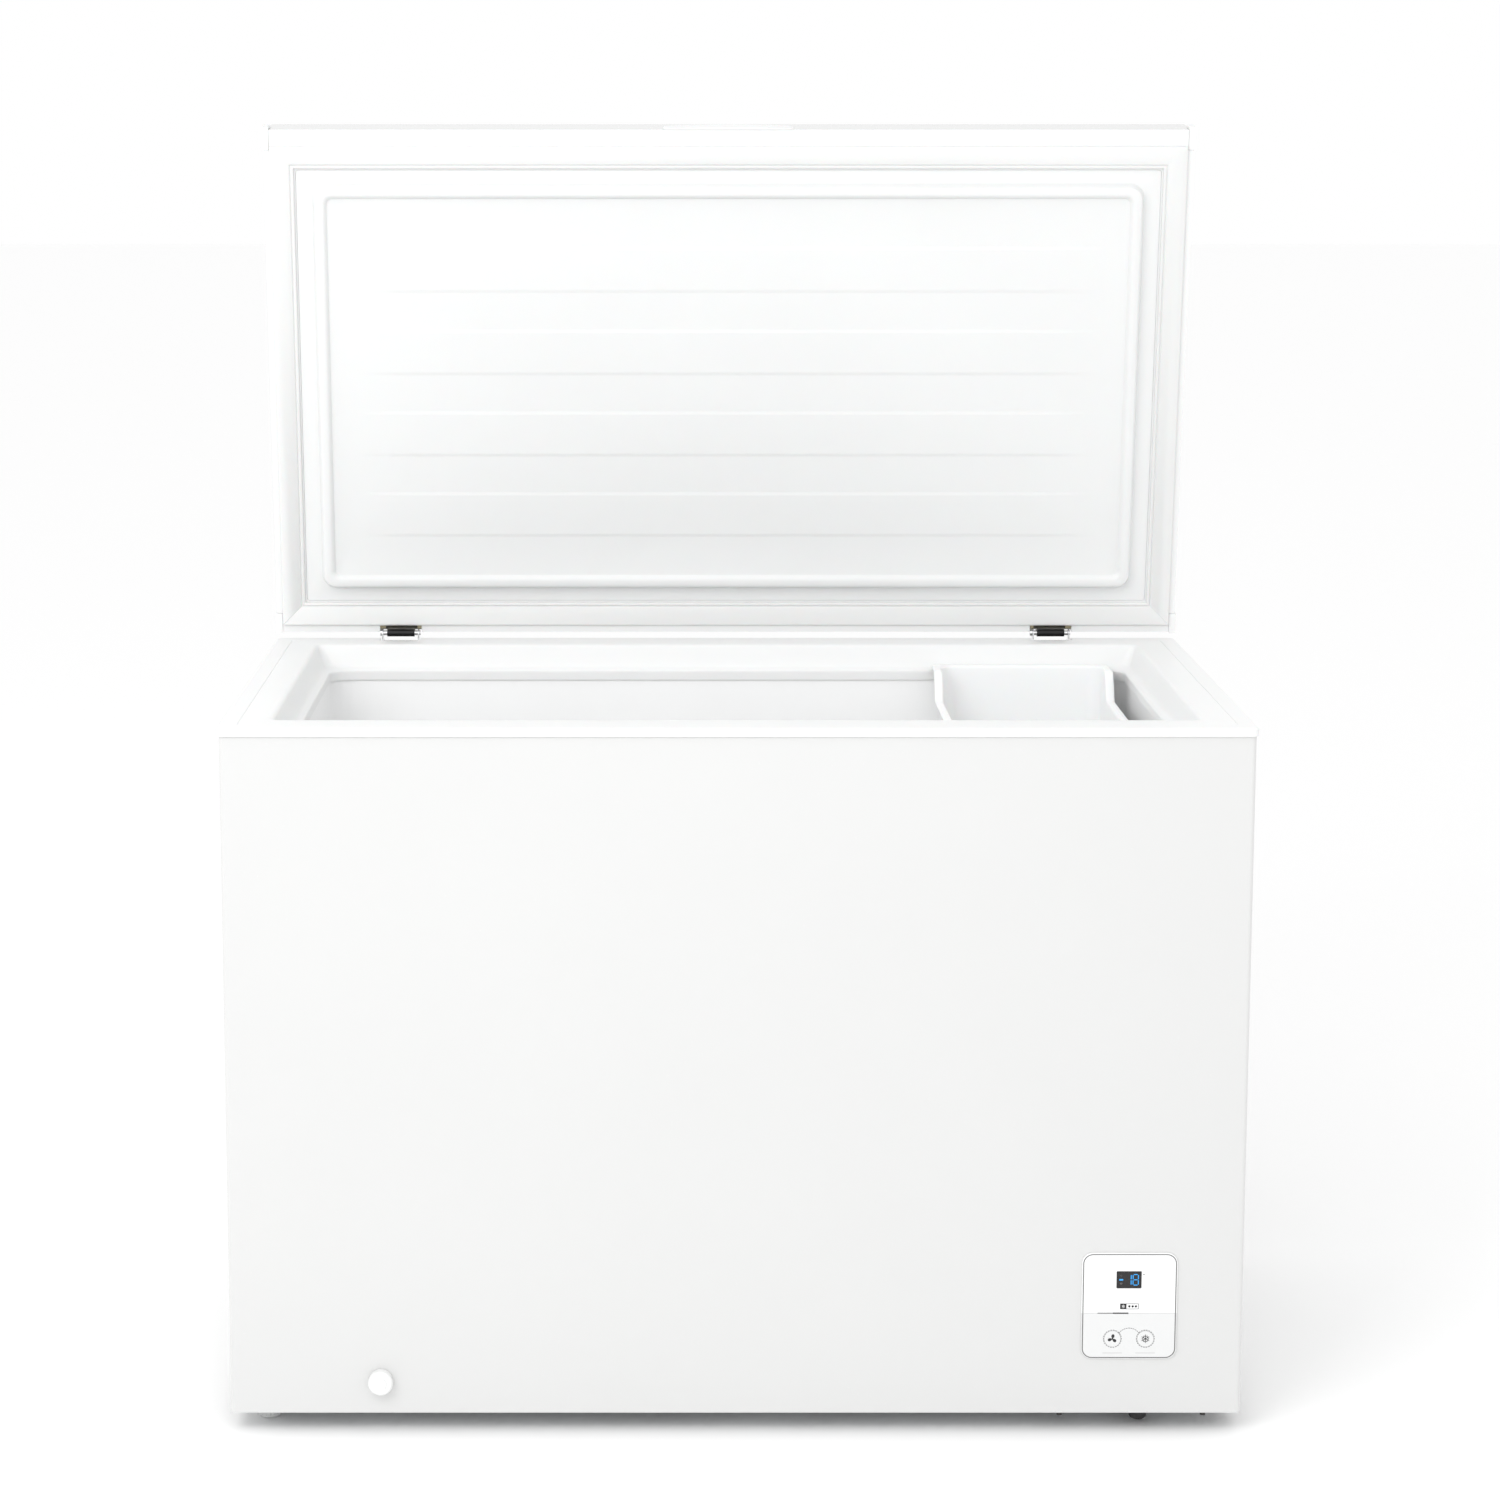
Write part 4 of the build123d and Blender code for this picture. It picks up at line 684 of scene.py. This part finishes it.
def thicken(piece: bpy.types.Object, wall: float) -> None:
    """Give an open skin its wall, behind the faces that show.

    Args:
        piece: The piece, in edit or object mode.
        wall: Thickness in metres.
    """
    bpy.ops.object.mode_set(mode="OBJECT")
    apply_modifier(piece, "SOLIDIFY", thickness=wall, offset=-1.0, use_even_offset=True)


def complete(piece: bpy.types.Object, finish: Finish, body: str, nodes: tuple[str, ...] = (),
             place: Matrix | None = None, smooth: float = 35.0) -> bpy.types.Object:
    """Set a finished piece in its place, dress it, hang it on its body and hide the frame nodes
    that it stands for.

    Args:
        piece: The piece, in any mode.
        finish: Its finish.
        body: The body that it rides on.
        nodes: Frame nodes that it stands for.
        place: Turn and shift from the piece's own frame to the room.
        smooth: Largest angle that is shaded smooth, in degrees.

    Returns:
        The piece.
    """
    grasp(piece)
    piece.vertex_groups.clear()
    if place is not None:
        piece.matrix_world = place
    bpy.ops.object.transform_apply(location=True, rotation=True, scale=True)
    bpy.ops.object.shade_smooth_by_angle(angle=math.radians(smooth))
    piece.data.materials.clear()
    piece.data.materials.append(finish.material())
    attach(piece, body)
    if nodes:
        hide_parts(*nodes)
    log.info("%s: %d faces, rides on %s", piece.name, len(piece.data.polygons), body)
    return piece


# ------------------------------------------------------------------ the lid's linings
def lid_place() -> Matrix:
    """Return the turn from the lid's own frame, on its hinge pin, to the open lid."""
    hinge = next(joint for joint in frame["joints"] if joint["name"] == "lid_hinge")
    pin = Matrix.Translation(Vector(hinge["pos_m"]))
    return pin @ Matrix.Rotation(-math.radians(hinge["range_deg"][1]), 4, "X")


@dataclass
class LidLining:
    """The formed sheet under the lid and the seal round it, in the lid's own frame.

    The frame has x to the right, y towards the hinge and z up through the closed lid, with
    its origin on the hinge pin. Edges are distances in from the lid's sides, front and rear
    edge, in mm.
    """

    lid_size: Span = (1120 * MM, 628 * MM)
    rear_edge: float = -1.5 * MM
    under: float = -1.0 * MM
    sheet_wall: float = 1.0 * MM
    sheet_edge: Edges = (38.3, 48.3, 40.8)  # hidden under the seal
    border: Edges = (60, 67, 60)  # the ridge is measured from this line
    ridge_drop: float = 12 * MM
    field_drop: float = 6 * MM
    band_height: float = 1.2 * MM
    band_lows: tuple[float, ...] = (128 * MM, 230 * MM, 332 * MM, 434 * MM)  # from the rear edge
    band_width: float = 50 * MM
    band_edge: float = 3 * MM
    band_hold: float = 1 * MM  # keeps the edges tight
    band_fades: tuple[float, ...] = (442 * MM, 425 * MM, 405 * MM, 380 * MM)
    band_tail: float = 18 * MM
    seal_height: float = 4.4 * MM
    seal_outer: Edges = (7, 19.5, 9)
    seal_inner: Edges = (36, 46, 38.5)
    seam_half: float = 0.8 * MM  # at the seal's mitres
    seam_depth: float = 1.0 * MM
    seam_reach: float = 40 * MM  # from the corner

    @property
    def field_level(self) -> float:
        """Height of the field inside the ridge."""
        return self.under - self.field_drop

    def ring(self, edges: Edges, corner: float, height: float) -> Ring:
        """Return a section by its distances from the lid's edges.

        Args:
            edges: Distances in, mm.
            corner: Corner radius, mm.
            height: Height above the hinge pin.

        Returns:
            The section.
        """
        side, front, rear = (edge * MM for edge in edges)
        width, depth = self.lid_size
        low = self.rear_edge - depth + front
        high = self.rear_edge - rear
        return Ring(width - 2 * side, high - low, corner * MM, height, (0.0, (low + high) / 2))

    def liner_rings(self) -> list[Ring]:
        """Return the sections of the pressed sheet, from its edge to the field."""
        crest = self.under - self.ridge_drop
        profile = [  # in from the border, corner radius, height
            (-4.5, 20, self.under), (-2.5, 18.5, self.under - 0.6 * MM),
            (-1.2, 17.2, self.under - 2.5 * MM), (0.4, 16, crest + 3.2 * MM),
            (1.6, 15, crest + 1.0 * MM), (3.6, 13.5, crest), (9.6, 10, crest + 0.1 * MM),
            (11.8, 9, crest + 0.7 * MM), (13.4, 8, crest + 2.4 * MM),
            (15.4, 7, self.field_level - 0.7 * MM), (18.4, 6, self.field_level),
        ]
        rings = [self.ring(self.sheet_edge, 3.7, self.under)]
        for inwards, corner, height in profile:
            side, front, rear = self.border
            rings.append(self.ring((side + inwards, front + inwards, rear + inwards),
                                   corner, height))
        return rings

    def press_bands(self, piece: bpy.types.Object) -> None:
        """Raise the broad bands of the field and let them fade towards their ends.

        Args:
            piece: The sheet in edit mode.
        """
        slices = []
        for low in self.band_lows:
            high_edge = self.rear_edge - low
            low_edge = high_edge - self.band_width
            foot, head = low_edge - self.band_edge, high_edge + self.band_edge
            slices += [((0, y, 0), (0, 1, 0)) for y in (
                foot - self.band_hold, foot, low_edge, low_edge + self.band_hold,
                high_edge - self.band_hold, high_edge, head, head + self.band_hold)]
        for fade in (*self.band_fades, self.band_fades[0] + self.band_tail):
            slices += [((x, 0, 0), (1, 0, 0)) for x in (-fade, fade)]
        for place, normal in slices:
            pick_faces(piece, lambda middle: abs(middle.z - self.field_level) < TOUCH)
            cut(piece, place, normal)
        bpy.ops.mesh.select_mode(type="VERT")
        step = self.band_height / len(self.band_fades)
        slack = 2 * TOUCH
        for fade in self.band_fades:
            pick(piece, lambda place: abs(place.x) < fade + slack and any(
                self.rear_edge - low - self.band_width - slack < place.y
                < self.rear_edge - low + slack for low in self.band_lows)
                and abs(place.z - self.field_level) < 2 * self.band_height)
            bpy.ops.transform.translate(value=(0, 0, -step))

    def build_liner(self) -> None:
        """Build the pressed sheet."""
        piece = loft("lid_inner_sheet", self.liner_rings(), segments=7, filled=True)
        face_skin(piece, lambda place: abs(place.x) < 0.3, (0, 0, -1))
        self.press_bands(piece)
        thicken(piece, self.sheet_wall)
        complete(piece, FORMED_SHEET, "lid", ("lid_liner",), lid_place())

    def build_seal(self) -> None:
        """Build the seal: a broad soft face, a groove and a bead along its inner edge."""
        top = self.under - TOUCH
        crown = top - self.seal_height
        profile = [  # share of the width from the outer edge, height
            (0.0, top), (0.0, top - 2.6 * MM), (0.03, crown + 0.7 * MM), (0.09, crown),
            (0.5, crown - 0.1 * MM), (0.78, crown), (0.83, crown + 0.6 * MM),
            (0.845, crown + 1.8 * MM), (0.865, crown + 1.9 * MM), (0.885, crown + 0.9 * MM),
            (0.93, crown + 0.5 * MM), (0.985, crown + 0.9 * MM), (1.0, crown + 1.7 * MM),
            (1.0, top - 0.1 * MM),
        ]
        rings = []
        for share, height in profile:
            side, front, rear = (outer + (inner - outer) * share for outer, inner
                                 in zip(self.seal_outer, self.seal_inner))
            rings.append(self.ring((side, front, rear), 1.2, height))
        piece = loft("lid_seal", rings, segments=2, closed=True)
        self.mitre(piece, crown)
        complete(piece, SEAL, "lid", ("lid_gasket",), lid_place(), smooth=50.0)

    def mitre(self, piece: bpy.types.Object, crown: float) -> None:
        """Sink a fine welded seam across each corner of the seal.

        Args:
            piece: The seal in edit mode.
            crown: Height of the seal's face.
        """
        outer = self.ring(self.seal_outer, 0, 0)
        inner = self.ring(self.seal_inner, 0, 0)
        for side in (-1, 1):
            for end in (-1, 1):
                far = Vector((side * outer.width / 2, outer.middle[1] + end * outer.depth / 2, 0))
                near = Vector((side * inner.width / 2, inner.middle[1] + end * inner.depth / 2, 0))
                along = (near - far).normalized()
                across = Vector((-along.y, along.x, 0))
                for shift in (-self.seam_half, 0.0, self.seam_half):
                    bpy.ops.mesh.select_all(action="SELECT")
                    cut(piece, far + across * shift, across)
                bpy.ops.mesh.select_mode(type="VERT")
                pick(piece, lambda place: abs((place - far).dot(across)) < 0.02 * MM
                     and (place.xy - far.xy).length < self.seam_reach
                     and place.z < crown + 1.5 * self.seam_depth)
                bpy.ops.transform.translate(value=(0, 0, self.seam_depth))

    def build(self) -> None:
        """Build the sheet and the seal."""
        self.build_liner()
        self.build_seal()


# ------------------------------------------------------------------ the throat
@dataclass
class Throat:
    """The moulded throat: rim band, rounded edge, slope, ledge and lip."""

    wall: float = 1.8 * MM
    flange: Span = (1079.4 * MM, 583.4 * MM)
    flange_corner: float = 3 * MM
    flange_shift: float = -2 * MM  # of its middle from the opening's
    opening: Span = (1008 * MM, 516 * MM)

    def ring(self, inwards: float, corner: float, height: float) -> Ring:
        """Return a section of the throat.

        Args:
            inwards: Distance in from the opening's edge, mm.
            corner: Corner radius, mm.
            height: Height from the rim's top, mm.

        Returns:
            The section.
        """
        low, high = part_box("throat_frame")
        middle = (low.y + high.y) / 2 - self.flange_shift
        return Ring(self.opening[0] - 2 * inwards * MM, self.opening[1] - 2 * inwards * MM,
                    corner * MM, high.z + height * MM, (0.0, middle))

    def build(self) -> None:
        """Build the throat as one skin with a wall."""
        low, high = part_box("throat_frame")
        edge = Ring(*self.flange, self.flange_corner, high.z, (0.0, (low.y + high.y) / 2))
        profile = [  # in from the opening's edge, corner radius, height
            (-6.5, 14, 0.0), (-3.6, 11.5, -0.35), (-1.4, 9.5, -1.5), (-0.1, 8.5, -3.4),
            (0.9, 8.5, -6.5), (7.0, 12, -22.0), (8.2, 14, -25.0), (10.2, 17, -27.0),
            (14.4, 22, -28.2), (16.0, 24.5, -28.8), (16.8, 25.6, -30.0), (17.0, 26, -31.6),
            (17.0, 26, -41.0),
        ]
        rings = [edge] + [self.ring(*section) for section in profile]
        piece = loft("throat_moulding", rings, segments=9)
        face_skin(piece, lambda place: place.z > high.z - TOUCH, (0, 0, 1))
        thicken(piece, self.wall)
        complete(piece, WHITE_MOULDING, "cabinet", ("throat_frame",))


# ------------------------------------------------------------------ the hanging basket
@dataclass
class Basket:
    """The smooth tub that hangs on the throat's ledge, low along its sides."""

    wall: float = 1.6 * MM
    tub: Span = (202 * MM, 478 * MM)
    rim_side: float = 8 * MM
    rim_end: float = 10 * MM
    deep: float = 205 * MM  # over all
    lean: float = 3.0  # draft of the walls, degrees
    corner: float = 20.0  # of the tub in plan, mm
    round_off: float = 14.0  # from the walls into the floor, mm
    high_end: float = 38 * MM  # part of the rim that stays up at each end
    drop: float = 34 * MM
    drop_run: float = 26 * MM
    steps: int = 8
    hook: float = 8 * MM  # part of the rim's ends that is not rolled
    rolls: tuple[Span, ...] = ((0.3, 5.5), (1.1, 1.6), (3.0, 0.5))  # in from the edge, fall, mm

    def ring(self, grow: float, corner: float, fall: float, end: float | None = None) -> Ring:
        """Return a section of the tub.

        Args:
            grow: Distance out from the tub's wall at the top, mm, along the sides.
            corner: Corner radius, mm.
            fall: Depth under the rim's top, mm.
            end: Distance out at the two ends, mm, if it differs from the sides.

        Returns:
            The section.
        """
        low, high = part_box("storage_basket")
        out_end = grow if end is None else end
        return Ring(self.tub[0] + 2 * grow * MM, self.tub[1] + 2 * out_end * MM, corner * MM,
                    high.z - fall * MM, ((low.x + high.x) / 2, (low.y + high.y) / 2))

    def rings(self) -> list[Ring]:
        """Return the sections from the rolled edge, over the rim and down to the floor."""
        made = []
        for back, corner, fall in ((0.0, 13, 1.3), (0.9, 12.6, 0.4), (2.8, 11.5, 0.0)):
            made.append(self.ring(self.rim_side / MM - back, corner, fall,
                                  self.rim_end / MM - back))
        inset = 2.4
        for grow, corner, fall in (
                (0.6, self.corner + 1, 0.15), (-0.9, self.corner + 1, 0.5),
                (-2.0, self.corner + 0.5, 1.9), (-inset, self.corner, 4.5),
                (-inset - 1.0, self.corner, 70)):
            made.append(self.ring(grow, corner, fall))
        floor = self.deep / MM - 2.0
        slope = math.tan(math.radians(self.lean)) * (floor - self.round_off)
        for turn in (0, 20, 40, 60, 80):
            angle = math.radians(turn)
            fall = floor - self.round_off * (1 - math.sin(angle))
            made.append(self.ring(-inset - slope - self.round_off * (1 - math.cos(angle)),
                                  self.corner - 8 * (1 - math.cos(angle)), fall))
        return made

    def roll_sides(self, piece: bpy.types.Object) -> None:
        """Roll the rim's outer edge down along both sides, clear of the hooked ends.

        Args:
            piece: The tub in edit mode.
        """
        low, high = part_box("storage_basket")
        middle = (low + high) / 2
        straight = self.tub[1] / 2 - self.hook
        for out, fall in self.rolls:
            edge = self.tub[0] / 2 + self.rim_side - out * MM
            pick(piece, lambda place: abs(place.x - middle.x) > edge
                 and abs(place.y - middle.y) < straight)
            bpy.ops.transform.translate(value=(0, 0, -fall * MM))

    def lower_sides(self, piece: bpy.types.Object) -> None:
        """Lower the rim along both sides in one smooth dip between the high ends.

        Args:
            piece: The tub in edit mode.
        """
        low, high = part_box("storage_basket")
        middle = (low.y + high.y) / 2
        start = self.tub[1] / 2 - self.high_end
        stations = [start - self.drop_run * i / self.steps for i in range(self.steps + 1)]
        for station in stations:
            for y in (middle - station, middle + station):
                bpy.ops.mesh.select_all(action="SELECT")
                cut(piece, (0, y, 0), (0, 1, 0))
        gone = 0.0
        for i, station in enumerate(stations[1:], start=1):
            share = i / self.steps
            fall = self.drop * share * share * (3 - 2 * share)
            pick(piece, lambda place: abs(place.y - middle) < station + TOUCH
                 and place.z > high.z - 60 * MM)
            bpy.ops.transform.translate(value=(0, 0, gone - fall))
            gone = fall

    def build(self) -> None:
        """Build the tub."""
        piece = loft("hanging_tub", self.rings(), segments=8, filled=True)
        low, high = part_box("storage_basket")
        face_skin(piece, lambda place: place.z < low.z + 4 * MM, (0, 0, 1))
        self.roll_sides(piece)
        self.lower_sides(piece)
        thicken(piece, self.wall)
        complete(piece, TUB_PLASTIC, "basket", ("storage_basket",))


# ------------------------------------------------------------------ the control panel's print and its painted edge shadow
@dataclass(frozen=True)
class Stroke:
    """One straight stroke or oval dab of print, upright on the panel, in millimetres.

    Attributes:
        x: Middle, to the right.
        z: Middle, upwards.
        long: Length along its own direction.
        thick: Width across it.
        turn: Angle of its direction from the level, in degrees.
    """

    x: float
    z: float
    long: float
    thick: float
    turn: float = 0.0


class Nib(Enum):
    """The shape of a mark of print."""

    BAR = "square ends"
    DAB = "oval"


THIRDS = (30, 90, 150)  # directions of a six-armed star's three strokes, degrees


def star(x: float, z: float, long: float, thick: float) -> list[Stroke]:
    """Return three strokes that cross in a six-armed star.

    Args:
        x: Middle, to the right, mm.
        z: Middle, upwards, mm.
        long: Length of each stroke, mm.
        thick: Width of each stroke, mm.

    Returns:
        The strokes.
    """
    return [Stroke(x, z, long, thick, angle) for angle in THIRDS]


@dataclass
class ControlPrint:
    """The marks on the control panel, in millimetres except for the ink."""

    centre: Span = (432.2, 145.2)
    size: Span = (105.0, 121.0)
    corner: float = 11.0
    edge_shadow: float = 1.1  # width of the painted edge shadow, and its distance from the edge
    rule_z: float = PANEL_RULE
    rule_part: float = 17.0  # length of its dark part and of its grey part
    ink: float = 0.06 * MM  # thickness of the print
    keys: tuple[Span, Span] = ((414.3, 107.9), (450.6, 107.9))
    ring_radius: float = 9.9
    dashes: int = 22
    dash: Span = (1.9, 0.6)  # length, width
    arc: tuple[float, float, float] = (11.0, 5.6, 12.2)  # half width, rise, height over the keys
    arc_dashes: int = 5  # on each side of the middle
    arc_step: float = 10.5  # degrees
    underline: Span = (21.5, 0.9)  # length, width
    underline_drop: float = 16.3
    window: Span = (431.4, 175.3)
    digit: tuple[float, float, float] = (2.9, 6.0, 0.95)  # half width, half height, stroke
    grade: Span = (425.6, 145.0)  # middle of the dark block
    grade_block: Span = (7.0, 6.4)
    grade_frame: Span = (13.4, 0.5)  # length, width of its lines
    grade_stars: tuple[float, ...] = (6.7, 10.3, 13.9)  # from the block

    def lay(self, name: str, marks: list[Stroke], ink: Finish, node: str = "control_fascia",
            body: str = "cabinet", nib: Nib = Nib.BAR) -> bpy.types.Object:
        """Lay marks of print on a node's front face.

        Args:
            name: Name of the piece.
            marks: The marks.
            ink: Finish of the print.
            node: Node whose front face carries it.
            body: Body that it rides on.
            nib: Shape of the marks.

        Returns:
            The piece.
        """
        piece = start_piece(name)
        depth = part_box(node)[0].y - self.ink / 2
        for mark in marks:
            middle = (mark.x * MM, depth, mark.z * MM)
            size = (mark.long * MM, self.ink, mark.thick * MM)
            if nib is Nib.BAR:
                bpy.ops.mesh.primitive_cube_add(
                    size=1.0, location=middle, rotation=(0, -math.radians(mark.turn), 0),
                    scale=size)
                continue
            bpy.ops.mesh.select_all(action="DESELECT")
            bpy.ops.mesh.primitive_cylinder_add(vertices=20, radius=0.5, depth=1.0,
                                                location=middle,
                                                rotation=(math.radians(90), 0, 0))
            bpy.ops.transform.resize(value=size, center_override=middle)
            bpy.ops.transform.rotate(value=math.radians(mark.turn), orient_axis="Y",
                                     center_override=middle)
        return complete(piece, ink, body)

    def build_edge_shadow(self) -> None:
        """Paint the shadow in the gap round the panel's edge, as a dark grey line laid on its
        face.
        """
        wide, high = self.size
        rings = []
        for shrink, lift in ((0.0, 0.0), (0.0, 1.0), (self.edge_shadow, 1.0), (self.edge_shadow, 0.0)):
            inset = 2 * (self.edge_shadow + shrink)
            rings.append(Ring((wide - inset) * MM, (high - inset) * MM,
                              (self.corner - shrink) * MM, (lift + shrink * 0.01) * self.ink))
        piece = loft("panel_edge_shadow", rings, segments=8, closed=True)
        middle = Vector((self.centre[0] * MM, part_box("control_fascia")[0].y,
                         self.centre[1] * MM))
        stand = Matrix.Translation(middle) @ Matrix.Rotation(math.radians(90), 4, "X")
        # This dark grey ring is painted shadow of the gap round the panel, not print on the real
        # panel.
        complete(piece, GREY_INK_AND_EDGE_SHADOW, "cabinet", place=stand)

    def build_rule(self) -> None:
        """Print the rule between the two tones, dark up to the middle and pale beyond."""
        margin = 1.8
        left = self.centre[0] - self.size[0] / 2 + margin
        middle = self.window[0]
        right = self.centre[0] + self.size[0] / 2 - margin
        part = self.rule_part
        self.lay("panel_rule_pale", [
            Stroke((left + middle) / 2 - part, self.rule_z, middle - left - 2 * part, 0.7),
            Stroke((middle + right) / 2, self.rule_z, right - middle, 0.7)], PALE_INK)
        self.lay("panel_rule_grey", [
            Stroke(middle - 1.5 * part, self.rule_z, part, 1.1)], GREY_INK_AND_EDGE_SHADOW)
        self.lay("panel_rule_dark", [
            Stroke(middle - part / 2, self.rule_z, part, 1.5)], INK)

    def build_rings(self) -> None:
        """Print the dashed rings round the keys and the dashed arc between them."""
        marks = []
        for x, z in self.keys:
            for i in range(self.dashes):
                marks.append(self.dash_on(x, z, self.ring_radius, 360 * i / self.dashes))
        (left, low), (right, _) = self.keys
        reach, sag, rise = self.arc
        radius = (reach ** 2 + sag ** 2) / (2 * sag)
        for i in range(-self.arc_dashes, self.arc_dashes + 1):
            marks.append(self.dash_on((left + right) / 2, low + rise - radius, radius,
                                      90 + self.arc_step * i))
        self.lay("panel_dashes", marks, GREY_INK_AND_EDGE_SHADOW)
        self.lay("key_underlines", [
            Stroke(x, z - self.underline_drop, *self.underline) for x, z in self.keys],
            PALE_INK)

    def dash_on(self, x: float, z: float, radius: float, angle: float) -> Stroke:
        """Return a dash that lies along a circle.

        Args:
            x: Circle's middle, to the right.
            z: Circle's middle, upwards.
            radius: Circle's radius.
            angle: Where on it, in degrees from the right.

        Returns:
            The dash.
        """
        turn = math.radians(angle)
        return Stroke(x + radius * math.cos(turn), z + radius * math.sin(turn), *self.dash,
                      angle + 90)

    def build_fan(self) -> None:
        """Print the fan on the left key."""
        x, z = self.keys[0]
        out, hub = 3.1, 2.2
        marks = []
        for angle in (80, 200, 320):
            turn = math.radians(angle)
            marks.append(Stroke(x + out * math.cos(turn), z + out * math.sin(turn), 4.4, 3.5,
                                angle))
        marks.append(Stroke(x, z, hub, hub))
        self.lay("fan_mark", marks, INK, "fridge_key", "fridge_key", Nib.DAB)

    def build_snowflake(self) -> None:
        """Print the snowflake on the right key."""
        x, z = self.keys[1]
        fork, half_branch, lean = 2.3, 1.1, 58
        marks = star(x, z, 9.6, 0.7)
        for angle in range(30, 390, 60):
            arm = math.radians(angle)
            for turn in (angle - lean, angle + lean):
                tip = math.radians(turn)
                marks.append(Stroke(
                    x + fork * math.cos(arm) + half_branch * math.cos(tip),
                    z + fork * math.sin(arm) + half_branch * math.sin(tip), 2.3, 0.6, turn))
        self.lay("snowflake_mark", marks, INK, "freezer_key", "freezer_key")

    def build_rating(self) -> None:
        """Print the freezing-grade mark: a dark block with a star, and three more stars."""
        x, z = self.grade
        wide, high = self.grade_block
        long, line = self.grade_frame
        middle, half = x + 10.1, (high - line) / 2
        marks = [Stroke(x, z, wide, high), Stroke(middle, z + half, long, line),
                 Stroke(middle, z - half, long, line), Stroke(x + 16.6, z, line, high)]
        for out in self.grade_stars:
            marks += star(x + out, z, 2.6, 0.9)
        self.lay("grade_mark", marks, INK)
        self.lift(self.lay("grade_star", star(x, z, 3.6, 0.6), WHITE_INK), self.ink)

    @staticmethod
    def lift(piece: bpy.types.Object, distance: float) -> None:
        """Move a finished print forward, over the print under it.

        Args:
            piece: The print.
            distance: How far, in metres.
        """
        grasp(piece)
        bpy.ops.object.mode_set(mode="EDIT")
        bpy.ops.mesh.select_all(action="SELECT")
        bpy.ops.transform.translate(value=(0, -distance, 0))
        bpy.ops.object.mode_set(mode="OBJECT")

    def segments(self, x: float, lit: str) -> list[Stroke]:
        """Return the strokes of one seven-segment digit.

        Args:
            x: Middle of the digit.
            lit: Letters of its lit segments, a to g.

        Returns:
            The strokes.
        """
        z = self.window[1]
        half_w, half_h, thick = self.digit
        level, upright = 2 * half_w - 1.6, half_h - 1.2
        places = {
            "a": Stroke(x, z + half_h, level, thick),
            "d": Stroke(x, z - half_h, level, thick),
            "g": Stroke(x, z, level, thick),
            "b": Stroke(x + half_w, z + half_h / 2, upright, thick, 90),
            "c": Stroke(x + half_w, z - half_h / 2, upright, thick, 90),
            "e": Stroke(x - half_w, z - half_h / 2, upright, thick, 90),
            "f": Stroke(x - half_w, z + half_h / 2, upright, thick, 90),
        }
        return [places[letter] for letter in lit]

    def build_display(self) -> None:
        """Light the two digits and the minus bar, with two unlit marks beside them."""
        x, z = self.window
        side = x - 8.6
        marks = self.segments(x + 7.3, "abcdefg") + self.segments(x - 0.6, "bc")
        marks.append(Stroke(side, z, 4.2, 1.7))
        self.lay("lit_digits", marks, LIT_SEGMENT, "display_window")
        dim = [Stroke(side, z + 4.6, 3.2, 0.8), Stroke(side, z + 4.6, 2.6, 0.8, 90),
               Stroke(side, z - 4.3, 3.2, 2.4)]
        self.lay("unlit_marks", dim, DIM_SEGMENT, "display_window", nib=Nib.DAB)
        self.lay("degree_dot", [Stroke(x + 16.2, z + 6.2, 1.5, 1.5)], GREY_INK_AND_EDGE_SHADOW, nib=Nib.DAB)

    def build(self) -> None:
        """Print everything on the panel, and paint the shadow round its edge."""
        self.build_edge_shadow()
        self.build_rule()
        self.build_rings()
        self.build_fan()
        self.build_snowflake()
        self.build_rating()
        self.build_display()


def main() -> None:
    """Build everything in order and report it."""
    logging.basicConfig(level=logging.INFO, format="%(name)s: %(message)s")
    finish_frame()
    Studio().build()
    LidLining().build()
    Throat().build()
    Basket().build()
    ControlPrint().build()


if __name__ == "__main__":
    main()
